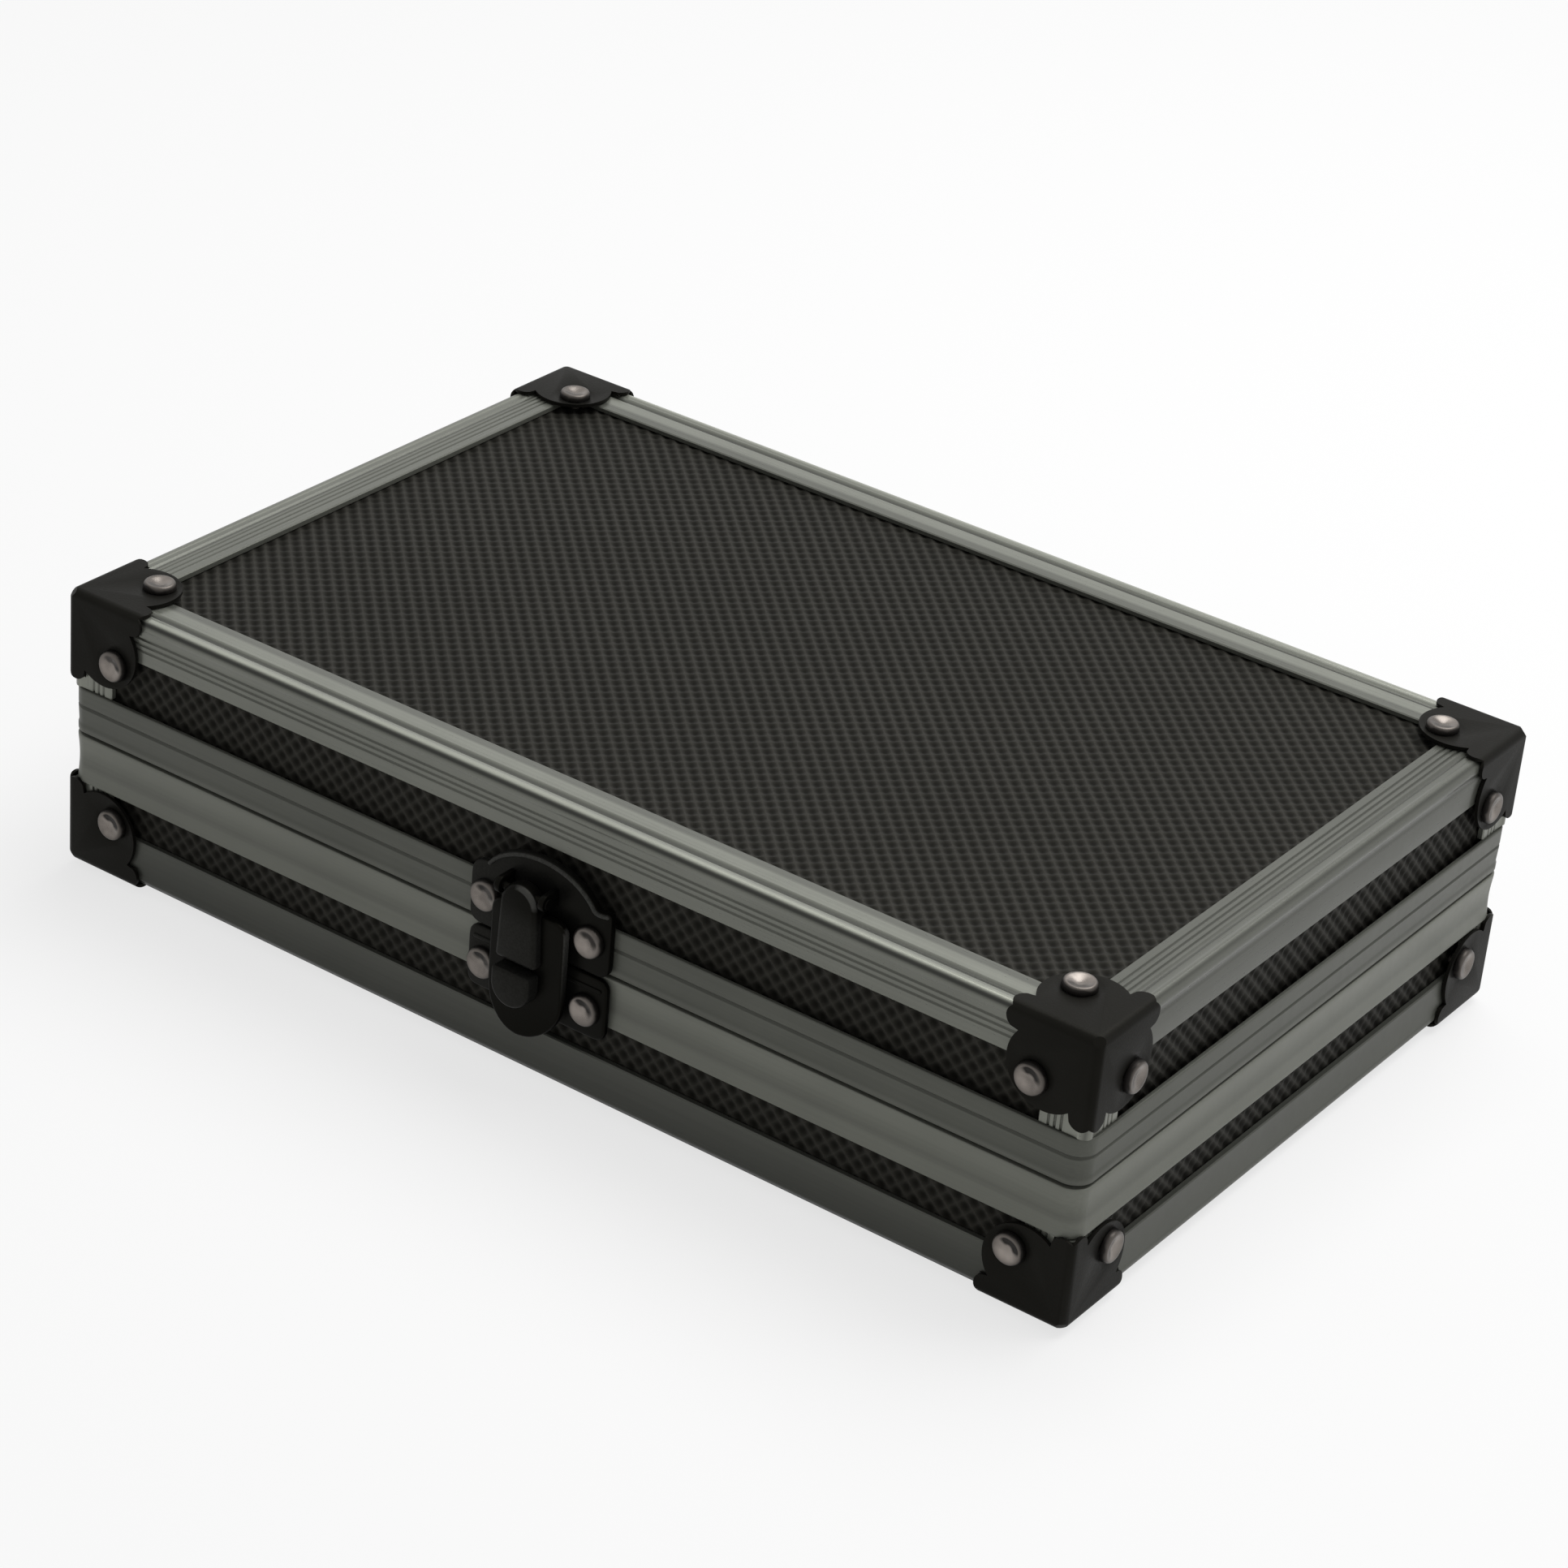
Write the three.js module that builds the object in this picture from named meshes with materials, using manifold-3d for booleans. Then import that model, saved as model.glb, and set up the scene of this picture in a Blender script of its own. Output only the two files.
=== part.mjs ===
// Small hard case: embossed boards held in aluminium edge profiles, stamped corner caps,
// a hinged lid and a sprung hasp. Millimetres, +Z up, front (latch side) towards -Y.
import * as THREE from 'three';
import { mergeVertices } from 'three/addons/utils/BufferGeometryUtils.js';
import { RoundedBoxGeometry } from 'three/addons/geometries/RoundedBoxGeometry.js';
import Module from 'manifold-3d';

const wasm = await Module();
wasm.setup();

// Driving dimensions of the case
const caseLength = 200;
const caseDepth = 130;
const frameHeight = 49.2;
const seamShare = 0.48374;
const seamGap = 0.6;
const fitGap = 0.1;
const runningGap = 0.3;
const cutOverrun = 1;
const weldTolerance = 1e-5;
const curveSteps = 3;

// Edge rails: L profiles with a round bead on the corner and fine grooves
const railInset = 0.5;
const railTopLeg = 8.4;
const railSideLeg = 8.0;
const railSheet = 1.0;
const beadRadius = 1.35;
const beadProud = 0.15;
const beadSteps = 5;
const grooveWidth = 0.5;
const grooveDepth = 0.3;
const wideGrooveWidth = 1.3;
const topGrooveInset = 2.75;
const sideGrooveInset = 3.25;
const sideGroovePitch = 1.08;
const sideGrooveCount = 3;
const openingClearance = 0.2;

// Boards with their embossed skin
const boardSheet = 2.2;
const panelSheet = 2.4;

// Closing bands: bent channels that hold the boards' open edges
const bandSheet = 0.7;
const bandWeb = 1.0;
const bandLip = 1.0;
const bandLipHeight = 2.0;
const bandCornerRadius = 3.5;
const bandCornerSteps = 4;
const lidBandShare = 0.3227;
const baseBandShare = 0.37447;
const bandGrooveShare = 0.5926;
const bandHollow = 0.25;
const bandChamfer = 0.3;
const tongueHeight = 0.8;
const tongueWidth = 0.8;
const tongueInset = 2.4;
const tongueClearance = 0.35;

// Corner caps: their reach is a share of the half's depth, the rest are shares of the reach
const capSheet = 0.6;
const capSeat = 0.25;
const lidCapShare = 0.63745;
const baseCapShare = 0.68085;
const capLobeShare = 0.25;
const capTipShare = 0.11875;
const capTipAngle = Math.PI / 3;
const capEyeInsetShare = 0.51875;
const capEyeRadiusShare = 0.4375;
const capEdgeRadius = 1.45;
const capEdgeSteps = 2;
const capEyeSteps = 5;
const ballInsetShare = 0.6875;
const ballShare = 1.10625;
const ballSteps = 28;

// Rivets and the brackets they are clinched to inside each corner
const rivetInsetShare = 0.6625;
const rivetHeadRadius = 2.75;
const rivetHeadHeight = 1.1;
const rivetCrownRadius = 1.2;
const rivetShankRadius = 1.1;
const rivetSides = 10;
const holeSides = 8;
const holeClearance = 0.15;
const bracketSheet = 0.8;
const bracketReachShare = 0.90625;

// Inner linings
const liningGap = 0.3;
const trayWall = 8;
const trayFloor = 4;
const trayTopDrop = 0.5;
const lidPadThickness = 6;

// Latch: lid plate, catch plate and sprung hasp
const latchSheet = 1.2;
const latchSeat = 0.1;
const latchPlace = 0.35;
const latchPlateShift = 0.35;
const latchHalfWidth = 13.7;
const latchEarRound = 2.2;
const lidPlateDrop = 0.2;
const lidEarShare = 0.44622;
const archHalfWidth = 12;
const archRiseShare = 0.28685;
const archHeightShare = 0.3506;
const archStart = Math.PI * 0.15;
const latchSteps = 6;
const catchEarShare = 0.46383;
const latchRivetX = 10.2;
const catchRivetShare = 0.28118;
const haspHalfWidth = 7.25;
const haspSheet = 1.6;
const haspBottomShare = 0.60426;
const haspTopShare = 0.30278;
const haspTopRound = 2;
const haspSteps = 8;
const haspClearance = 1.0;
const lipRise = 7.5;
const lipProud = 1.5;
const tongueShift = -1;
const tongueHalfWidth = 3.45;
const tongueFlare = 0.55;
const tongueProud = 5.5;
const tongueBottomDrop = 1.6;
const bossHalfWidth = 3.6;
const bossProud = 6.5;
const bossTopDrop = 2.7;
const bossBottomDrop = 8.9;
const pinRiseShare = 0.41833;
const pinProud = 4.1;
const pinRadius = 0.65;
const pinHeadRadius = 0.9;
const pinHeadLength = 0.3;
const barrelRadius = 1.7;
const barrelSteps = 16;
const lugSheet = 1.0;
const lugRadius = 1.4;
const catchHalfWidth = 2.2;
const catchDrop = 3.0;
const catchThickness = 1.2;
const catchReach = 1.8;
const channelDepth = 1.0;
const channelClearance = 0.5;
const springThickness = 0.3;
const springHalfWidth = 1.4;
const springLength = 5.5;

// Rear hinge
const hingeHalfLength = 45;
const hingeLeafSheet = 0.8;
const hingeLeafHeight = 8.0;
const knuckleRadius = 1.7;
const knuckleCount = 5;
const knuckleBore = 0.95;
const hingePinRadius = 0.8;
const hingePinOverhang = 0.8;
const hingeRivetX = 34;
const hingeRivetHeadRadius = 2.0;
const hingeRivetHeadHeight = 0.8;
const backingSheet = 0.8;
const backingHalfHeight = 2.2;
const backingClearance = 0.1;

// Places worked out from the driving dimensions
const halfX = caseLength / 2;
const halfY = caseDepth / 2;
const frameX = halfX - railInset;
const frameY = halfY - railInset;
const capOuter = capSeat + capSheet;
const boardX = frameX - railSheet - fitGap;
const boardY = frameY - railSheet - fitGap;
const innerX = boardX - boardSheet;
const innerY = boardY - boardSheet;
const seamHeight = frameHeight * seamShare;
const seamTop = seamHeight + seamGap / 2;
const seamBottom = seamHeight - seamGap / 2;
const boardSkinDrop = railSheet + fitGap;
const panelInnerDrop = boardSkinDrop + panelSheet;
const lidDepth = frameHeight - seamTop;
const standHeight = capOuter + rivetHeadHeight;
const cornerOpening = railTopLeg + openingClearance;
const haspBack = latchSheet + latchSeat + haspClearance;
const haspFront = haspBack + haspSheet;
const hingeAxisProud = latchSeat + knuckleRadius + runningGap;
const frontReach = bossProud;
const backReach = hingeAxisProud + knuckleRadius;

// Finishes, as seen in the photograph
const aluminium = { color: 0x8c8e88, roughness: 0.38, metalness: 0.85 };
const embossed = { color: 0x1d1c1a, roughness: 0.6, metalness: 0.0 };
const blackSteel = { color: 0x1b1a18, roughness: 0.42, metalness: 0.3 };
const nickel = { color: 0xa79f98, roughness: 0.3, metalness: 0.9 };
const springSteel = { color: 0x77777a, roughness: 0.35, metalness: 0.9 };
const foamBlack = { color: 0x151516, roughness: 0.95, metalness: 0.0 };

// Solids: a geometry becomes a solid, solids are cut and joined, and become a geometry again
function solidOf(geometry) {
  const bare = geometry.clone();
  bare.deleteAttribute('normal');
  bare.deleteAttribute('uv');
  const merged = mergeVertices(bare, weldTolerance);
  const mesh = new wasm.Mesh({
    numProp: 3,
    vertProperties: new Float32Array(merged.attributes.position.array),
    triVerts: new Uint32Array(merged.index.array),
  });
  mesh.merge();
  return new wasm.Manifold(mesh);
}

function geometryOf(solid) {
  const mesh = solid.getMesh();
  const geometry = new THREE.BufferGeometry();
  geometry.setAttribute('position', new THREE.BufferAttribute(mesh.vertProperties, 3));
  geometry.setIndex(new THREE.BufferAttribute(mesh.triVerts, 1));
  return geometry;
}

function joined(first, ...others) {
  return others.reduce((sum, one) => sum.add(one), first);
}

function cut(first, ...others) {
  return others.reduce((rest, one) => rest.subtract(one), first);
}

// A box from its low corner to its high corner
function block(low, high) {
  const size = high.map((value, axis) => value - low[axis]);
  const geometry = new THREE.BoxGeometry(size[0], size[1], size[2]);
  geometry.translate(low[0] + size[0] / 2, low[1] + size[1] / 2, low[2] + size[2] / 2);
  return solidOf(geometry);
}

// A bar of a closed outline, drawn in two coordinates and carried along the third
function bar(outline, from, to, axis, steps = curveSteps) {
  const shape = outline instanceof THREE.Shape ? outline : new THREE.Shape(outline);
  const options = { depth: to - from, bevelEnabled: false, curveSegments: steps };
  const geometry = new THREE.ExtrudeGeometry(shape, options);
  geometry.translate(0, 0, from);
  const turn = new THREE.Matrix4();
  if (axis === 'x') turn.set(0, 0, 1, 0, 1, 0, 0, 0, 0, 1, 0, 0, 0, 0, 0, 1);
  if (axis === 'y') turn.set(1, 0, 0, 0, 0, 0, -1, 0, 0, 1, 0, 0, 0, 0, 0, 1);
  geometry.applyMatrix4(turn);
  return solidOf(geometry);
}

// A round bar along an axis through a centre
function rod(radius, from, to, centre, axis, sides = holeSides) {
  const geometry = new THREE.CylinderGeometry(radius, radius, to - from, sides);
  const middle = (from + to) / 2;
  if (axis === 'x') geometry.rotateZ(-Math.PI / 2).translate(middle, centre[0], centre[1]);
  if (axis === 'y') geometry.translate(centre[0], middle, centre[1]);
  if (axis === 'z') geometry.rotateX(Math.PI / 2).translate(centre[0], centre[1], middle);
  return solidOf(geometry);
}

function placed(solid, matrix) {
  const geometry = geometryOf(solid);
  geometry.applyMatrix4(matrix);
  if (matrix.determinant() < 0) {
    const order = geometry.index.array;
    for (let i = 0; i < order.length; i += 3) {
      [order[i], order[i + 1]] = [order[i + 1], order[i]];
    }
  }
  return solidOf(geometry);
}

function scaled(x, y, z) {
  return new THREE.Matrix4().makeScale(x, y, z);
}

const model = new THREE.Group();
const whole = new THREE.Group();
whole.position.set(0, (frontReach - backReach) / 2, standHeight);
model.add(whole);

function addPiece(name, solid, finish) {
  const mesh = new THREE.Mesh(geometryOf(solid), new THREE.MeshStandardMaterial(finish));
  mesh.name = name;
  whole.add(mesh);
}

const corners = [
  { name: 'front_left', x: -1, y: -1 },
  { name: 'front_right', x: 1, y: -1 },
  { name: 'back_left', x: -1, y: 1 },
  { name: 'back_right', x: 1, y: 1 },
];

// Each half is drawn as if its outer face were at the top, at height zero, going down.
// The lid keeps that sense and the base is its mirror image.
function halfSizes(name, up, outer, depth, bandShare, capShare) {
  const reach = depth * capShare;
  const inset = reach * rivetInsetShare;
  return {
    name,
    up,
    outer,
    depth,
    reach,
    inset,
    bandHeight: depth * bandShare,
    ball: reach * ballShare,
    rivetX: frameX + capOuter - inset,
    rivetY: frameY + capOuter - inset,
    rivetZ: capOuter - inset,
    bracketReach: reach * bracketReachShare,
  };
}

const halves = [
  halfSizes('lid', 1, frameHeight, lidDepth, lidBandShare, lidCapShare),
  halfSizes('base', -1, 0, seamBottom, baseBandShare, baseCapShare),
];

function atHalf(solid, half) {
  const matrix = new THREE.Matrix4().makeTranslation(0, 0, half.outer);
  matrix.multiply(scaled(1, 1, half.up));
  return placed(solid, matrix);
}

// One groove across a flat face, as three points of an outline
function groovePoints(centre, width, depth, level, along, inward) {
  const edge = centre - width / 2;
  const far = centre + width / 2;
  return [
    [edge, level],
    [centre, level + inward * depth],
    [far, level],
  ].map(([u, v]) => (along === 'u' ? [u, v] : [v, u]));
}

// The L profile in distances from the two outer planes: u inwards, v downwards
function railOutline(topGrooves, sideGrooves, topLeg, sideLeg) {
  const points = [];
  const push = (pairs) => pairs.forEach(([u, v]) => points.push(new THREE.Vector2(u, v)));
  push([[topLeg, railSheet], [topLeg, 0]]);
  for (const groove of [...topGrooves].reverse()) {
    push(groovePoints(groove.at, groove.width, grooveDepth, 0, 'u', 1).reverse());
  }
  const centre = beadRadius - beadProud;
  const reach = Math.acos(centre / beadRadius);
  const start = -Math.PI / 2 + reach;
  const end = -Math.PI - reach;
  for (let i = 0; i <= beadSteps; i += 1) {
    const angle = start + ((end - start) * i) / beadSteps;
    const u = centre + beadRadius * Math.cos(angle);
    const v = centre + beadRadius * Math.sin(angle);
    push([[u, v]]);
  }
  for (const groove of sideGrooves) {
    push(groovePoints(groove.at, groove.width, grooveDepth, 0, 'v', 1));
  }
  push([[0, sideLeg], [railSheet, sideLeg], [railSheet, railSheet]]);
  return points;
}

function fineGrooves(first) {
  return Array.from({ length: sideGrooveCount }, (_, i) => (
    { at: first + i * sideGroovePitch, width: grooveWidth }
  ));
}

const wideGroove = { at: topGrooveInset, width: wideGrooveWidth };

// The lid's long rails are ribbed on the side leg, the end rails on the top leg
const ribbedSide = fineGrooves(sideGrooveInset);
const lidLongOutline = railOutline([wideGroove], ribbedSide, railTopLeg, railSideLeg);
const baseLongOutline = railOutline([wideGroove], [], railTopLeg, railSideLeg);
const ribbedTop = fineGrooves(sideGrooveInset + sideGroovePitch);
const lidEndOutline = railOutline(ribbedTop, [wideGroove], railTopLeg, railSideLeg);
const baseEndOutline = railOutline(ribbedTop, [], railTopLeg, railSideLeg);
const postOutline = railOutline(ribbedTop, ribbedTop, railTopLeg, railTopLeg);

// Carries an outline of (u, v) onto a plane: u runs inwards from place, v downwards
function railBar(outline, inward, place, halfLength, axis) {
  const drawn = outline.map((p) => new THREE.Vector2(place + inward * p.x, -p.y));
  const turned = inward < 0 ? drawn.reverse() : drawn;
  return bar(turned, -halfLength, halfLength, axis);
}

function makeRails(half) {
  const longHalf = frameX - cornerOpening;
  const endHalf = frameY - cornerOpening;
  const lid = half.name === 'lid';
  const longOutline = lid ? lidLongOutline : baseLongOutline;
  const endOutline = lid ? lidEndOutline : baseEndOutline;
  const rails = {
    rail_front: railBar(longOutline, 1, -frameY, longHalf, 'x'),
    rail_back: railBar(longOutline, -1, frameY, longHalf, 'x'),
    rail_left: railBar(endOutline, 1, -frameX, endHalf, 'y'),
    rail_right: railBar(endOutline, -1, frameX, endHalf, 'y'),
  };
  for (const [name, solid] of Object.entries(rails)) {
    addPiece(`${half.name}_${name}`, atHalf(solid, half), aluminium);
  }
}

function makePosts(half) {
  const bottom = -(half.depth - half.bandHeight - fitGap);
  for (const corner of corners) {
    const drawn = postOutline.map((p) => new THREE.Vector2(p.x - frameX, p.y - frameY));
    const post = bar(drawn.reverse(), bottom, -cornerOpening, 'z');
    const solid = placed(post, scaled(-corner.x, -corner.y, 1));
    addPiece(`${half.name}_post_${corner.name}`, atHalf(solid, half), aluminium);
  }
}

// Holes for the three rivets of one corner
const holeRadius = rivetShankRadius + holeClearance;

function topHoles(half) {
  return corners.map((corner) => {
    const centre = [corner.x * half.rivetX, corner.y * half.rivetY];
    return rod(holeRadius, -half.depth, cutOverrun, centre, 'z');
  });
}

function makePanel(half) {
  const low = [-boardX, -boardY, -panelInnerDrop];
  const high = [boardX, boardY, -boardSkinDrop];
  const panel = cut(block(low, high), ...topHoles(half));
  const name = half.name === 'lid' ? 'lid_top_panel' : 'base_bottom_panel';
  addPiece(name, atHalf(panel, half), embossed);
}

// Where the latch and hinge rivets pass, measured up from the case's lower rail plane
const lipTop = seamGap / 2 + bandWeb + bandLipHeight;
const seamRivetRise = lipTop + backingClearance + backingHalfHeight;
const lidLatchRivetZ = seamHeight + seamRivetRise;
const catchRivetZ = seamHeight - seamBottom * catchRivetShare;
const lidHingeRivetZ = seamHeight + seamRivetRise;
const baseHingeRivetZ = seamHeight - seamRivetRise;

function seamRivetHoles(half) {
  const latchZ = half.name === 'lid' ? lidLatchRivetZ : catchRivetZ;
  const hingeZ = half.name === 'lid' ? lidHingeRivetZ : baseHingeRivetZ;
  const holes = [];
  for (const side of [-1, 1]) {
    const front = [latchPlace + side * latchRivetX, latchZ];
    const back = [side * hingeRivetX, hingeZ];
    holes.push(rod(holeRadius, -halfY - cutOverrun, -innerY + cutOverrun, front, 'y'));
    holes.push(rod(holeRadius, innerY - cutOverrun, halfY + cutOverrun, back, 'y'));
  }
  return holes;
}

function makeBoards(half) {
  const top = -(panelInnerDrop + fitGap);
  const bottom = -(half.depth - bandWeb - fitGap);
  const endY = innerY - fitGap;
  const longHoles = [-1, 1].map((side) => (
    rod(holeRadius, -frameY, frameY, [side * half.rivetX, half.rivetZ], 'y')
  ));
  const endHoles = [-1, 1].map((side) => (
    rod(holeRadius, -frameX, frameX, [side * half.rivetY, half.rivetZ], 'x')
  ));
  const boards = {
    front_board: [[-boardX, -boardY], [boardX, -innerY], longHoles],
    back_board: [[-boardX, innerY], [boardX, boardY], longHoles],
    left_board: [[-boardX, -endY], [-innerX, endY], endHoles],
    right_board: [[innerX, -endY], [boardX, endY], endHoles],
  };
  for (const [name, [low, high, holes]] of Object.entries(boards)) {
    const solid = block([...low, bottom], [...high, top]);
    const drilled = atHalf(cut(solid, ...holes), half);
    addPiece(`${half.name}_${name}`, cut(drilled, ...seamRivetHoles(half)), embossed);
  }
}

// A ring of one outline of (inset, height) led round the case with round corners
function ringSweep(outline) {
  const positions = [];
  const order = [];
  const quarter = Math.PI / 2;
  const signs = [[1, 1], [-1, 1], [-1, -1], [1, -1]];
  const around = [];
  for (let corner = 0; corner < signs.length; corner += 1) {
    for (let step = 0; step <= bandCornerSteps; step += 1) {
      around.push({ corner, angle: quarter * (corner + step / bandCornerSteps) });
    }
  }
  for (const { corner, angle } of around) {
    for (const [inset, height] of outline) {
      const radius = inset > bandSheet ? bandChamfer : bandCornerRadius - inset;
      const [sx, sy] = signs[corner];
      const x = sx * (halfX - inset - radius) + radius * Math.cos(angle);
      const y = sy * (halfY - inset - radius) + radius * Math.sin(angle);
      positions.push(x, y, height);
    }
  }
  const count = outline.length;
  for (let i = 0; i < around.length; i += 1) {
    const next = (i + 1) % around.length;
    for (let j = 0; j < count; j += 1) {
      const k = (j + 1) % count;
      const a = i * count + j;
      const b = next * count + j;
      const c = next * count + k;
      const d = i * count + k;
      order.push(a, c, b, a, d, c);
    }
  }
  const geometry = new THREE.BufferGeometry();
  geometry.setAttribute('position', new THREE.Float32BufferAttribute(positions, 3));
  geometry.setIndex(order);
  return solidOf(geometry);
}

// The bands' channel outline, drawn with the seam at height zero and the free edge above
function bandOutline(height, groove, hollow) {
  const channel = halfX - innerX + fitGap + bandLip;
  const outline = [
    [0, bandChamfer],
    [bandChamfer, 0],
  ];
  const tongueLow = tongueInset - tongueWidth / 2;
  const tongueHigh = tongueInset + tongueWidth / 2;
  if (groove) {
    const wall = tongueClearance;
    outline.push([tongueLow - wall, 0], [tongueLow - wall, tongueHeight / 2 + wall / 2]);
    outline.push([tongueHigh + wall, tongueHeight / 2 + wall / 2], [tongueHigh + wall, 0]);
  } else {
    outline.push([tongueLow, 0], [tongueLow, -tongueHeight / 2 - seamGap / 2]);
    outline.push([tongueHigh, -tongueHeight / 2 - seamGap / 2], [tongueHigh, 0]);
  }
  outline.push([channel, 0], [channel, bandWeb + bandLipHeight]);
  outline.push([channel - bandLip, bandWeb + bandLipHeight], [channel - bandLip, bandWeb]);
  outline.push([bandSheet, bandWeb], [bandSheet, height]);
  outline.push([bandChamfer, height], [0, height - bandChamfer]);
  if (hollow) {
    outline.push([bandHollow, height / 2]);
  } else {
    const grooveHeight = height * bandGrooveShare;
    outline.push([0, grooveHeight + grooveWidth / 2]);
    outline.push([grooveDepth, grooveHeight]);
    outline.push([0, grooveHeight - grooveWidth / 2]);
  }
  return outline;
}

function makeBand(half) {
  const lid = half.name === 'lid';
  const outline = bandOutline(half.bandHeight, lid, !lid);
  const ring = ringSweep(outline);
  const matrix = new THREE.Matrix4().makeTranslation(0, 0, lid ? seamTop : seamBottom);
  matrix.multiply(scaled(1, 1, half.up));
  const band = cut(placed(ring, matrix), ...seamRivetHoles(half));
  addPiece(`${half.name}_closing_band`, band, aluminium);
}

// The lobed outline of a cap on one face, in distances along the two edges from the corner
function capOutline(reach) {
  const lobe = reach * capLobeShare;
  const tip = reach - reach * capTipShare;
  const eye = reach * capEyeInsetShare;
  const eyeRadius = reach * capEyeRadiusShare;
  const quarter = Math.PI / 2;
  const notch = eye + Math.sqrt(eyeRadius ** 2 - (eye - lobe) ** 2);
  const from = Math.atan2(lobe - eye, notch - eye);
  const shape = new THREE.Shape();
  shape.moveTo(0, 0);
  shape.lineTo(tip, 0);
  shape.absarc(tip, lobe / 2, lobe / 2, -quarter, capTipAngle, false);
  shape.lineTo(notch, lobe);
  shape.absarc(eye, eye, eyeRadius, from, quarter - from, false);
  shape.absarc(lobe / 2, tip, lobe / 2, quarter - capTipAngle, Math.PI, false);
  shape.lineTo(0, 0);
  return shape;
}

// A cap drawn for the corner at the origin, its walls running along +X, +Y and -Z
function capSolid(half) {
  const { reach, ball } = half;
  const lobe = reach * capLobeShare;
  const flat = bar(capOutline(reach), -lobe, 0, 'z', capEyeSteps);
  const toSide = new THREE.Matrix4().set(0, 0, -1, 0, 1, 0, 0, 0, 0, -1, 0, 0, 0, 0, 0, 1);
  const toFront = new THREE.Matrix4().set(1, 0, 0, 0, 0, 0, -1, 0, 0, -1, 0, 0, 0, 0, 0, 1);
  const lobes = joined(flat, placed(flat, toSide), placed(flat, toFront));
  const size = 2 * (reach + lobe);
  const round = new RoundedBoxGeometry(size, size, size, capEdgeSteps, capEdgeRadius);
  round.translate(size / 2, size / 2, -size / 2);
  const middle = reach * ballInsetShare;
  const sphere = new THREE.SphereGeometry(ball, ballSteps, ballSteps / 2);
  sphere.translate(middle, middle, -middle);
  const inner = new THREE.SphereGeometry(ball - capSheet, ballSteps, ballSteps / 2);
  inner.translate(middle, middle, -middle);
  const hollow = block([capSheet, capSheet, -size], [size, size, -capSheet]);
  const skin = solidOf(round).intersect(lobes).intersect(solidOf(sphere));
  return cut(skin, hollow.intersect(solidOf(inner)));
}

// Carries what is drawn for the corner at the origin onto a corner of the case
function cornerMatrix(corner) {
  const matrix = scaled(-corner.x, -corner.y, 1);
  matrix.setPosition(corner.x * (frameX + capOuter), corner.y * (frameY + capOuter), capOuter);
  return matrix;
}

function makeCaps(half) {
  const { inset } = half;
  const depth = half.reach * capLobeShare;
  const holes = [
    rod(holeRadius, -depth, cutOverrun, [inset, inset], 'z'),
    rod(holeRadius, -cutOverrun, depth, [inset, -inset], 'x'),
    rod(holeRadius, -cutOverrun, depth, [inset, -inset], 'y'),
  ];
  const drilled = cut(capSolid(half), ...holes);
  for (const corner of corners) {
    const solid = atHalf(placed(drilled, cornerMatrix(corner)), half);
    addPiece(`${half.name}_cap_${corner.name}`, solid, blackSteel);
  }
}

// A domed rivet along +Z: its head sits on height zero, its shank reaches down
function rivetSolid(headRadius, headHeight, shankLength) {
  const rimShare = 0.3;
  const shoulderShare = 0.78;
  const shoulderRiseShare = 0.8;
  const crown = Math.min(rivetCrownRadius, headRadius / 2);
  const profile = [
    [0, -shankLength],
    [rivetShankRadius, -shankLength],
    [rivetShankRadius, 0],
    [headRadius, 0],
    [headRadius, headHeight * rimShare],
    [headRadius * shoulderShare, headHeight * shoulderRiseShare],
    [crown, headHeight],
    [0, headHeight],
  ].map(([x, y]) => new THREE.Vector2(x, y));
  const geometry = new THREE.LatheGeometry(profile, rivetSides);
  geometry.rotateX(Math.PI / 2);
  return solidOf(geometry);
}

// Turns a rivet's +Z onto one of the outward directions
function rivetAt(solid, direction, place) {
  const from = new THREE.Vector3(0, 0, 1);
  const turn = new THREE.Quaternion().setFromUnitVectors(from, new THREE.Vector3(...direction));
  const matrix = new THREE.Matrix4().makeRotationFromQuaternion(turn);
  matrix.setPosition(...place);
  return placed(solid, matrix);
}

// Three rivets and the inside bracket they are clinched to, drawn for the corner at the origin
function rivetSetSolid(half) {
  const { inset, bracketReach: reach } = half;
  const wall = capOuter + boardSkinDrop;
  const sideInner = wall + boardSheet + fitGap;
  const topInner = wall + panelSheet + fitGap;
  const sideOut = sideInner + bracketSheet;
  const topOut = topInner + bracketSheet;
  const beyond = reach + cutOverrun;
  const bracket = cut(
    block([sideInner, sideInner, -reach], [reach, reach, -topInner]),
    block([sideOut, sideOut, -beyond], [beyond, beyond, -topOut]),
  );
  const clinch = 2 * fitGap;
  const topRivet = rivetSolid(rivetHeadRadius, rivetHeadHeight, topInner + clinch);
  const sideRivet = rivetSolid(rivetHeadRadius, rivetHeadHeight, sideInner + clinch);
  return joined(
    bracket,
    rivetAt(topRivet, [0, 0, 1], [inset, inset, 0]),
    rivetAt(sideRivet, [-1, 0, 0], [0, inset, -inset]),
    rivetAt(sideRivet, [0, -1, 0], [inset, 0, -inset]),
  );
}

function makeRivetSets(half) {
  const set = rivetSetSolid(half);
  for (const corner of corners) {
    const solid = atHalf(placed(set, cornerMatrix(corner)), half);
    addPiece(`${half.name}_rivets_${corner.name}`, solid, nickel);
  }
}

const liningX = innerX - fitGap - bandLip - liningGap;
const liningY = innerY - fitGap - bandLip - liningGap;

// Room in a lining for the inside brackets' flat legs
function bracketRooms(half, bottom, height) {
  const startX = frameX + capOuter - half.bracketReach - liningGap;
  const startY = frameY + capOuter - half.bracketReach - liningGap;
  return corners.map((corner) => {
    const xs = [corner.x * startX, corner.x * (liningX + cutOverrun)].sort((a, b) => a - b);
    const ys = [corner.y * startY, corner.y * (liningY + cutOverrun)].sort((a, b) => a - b);
    return block([xs[0], ys[0], bottom - cutOverrun], [xs[1], ys[1], bottom + height]);
  });
}

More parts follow.
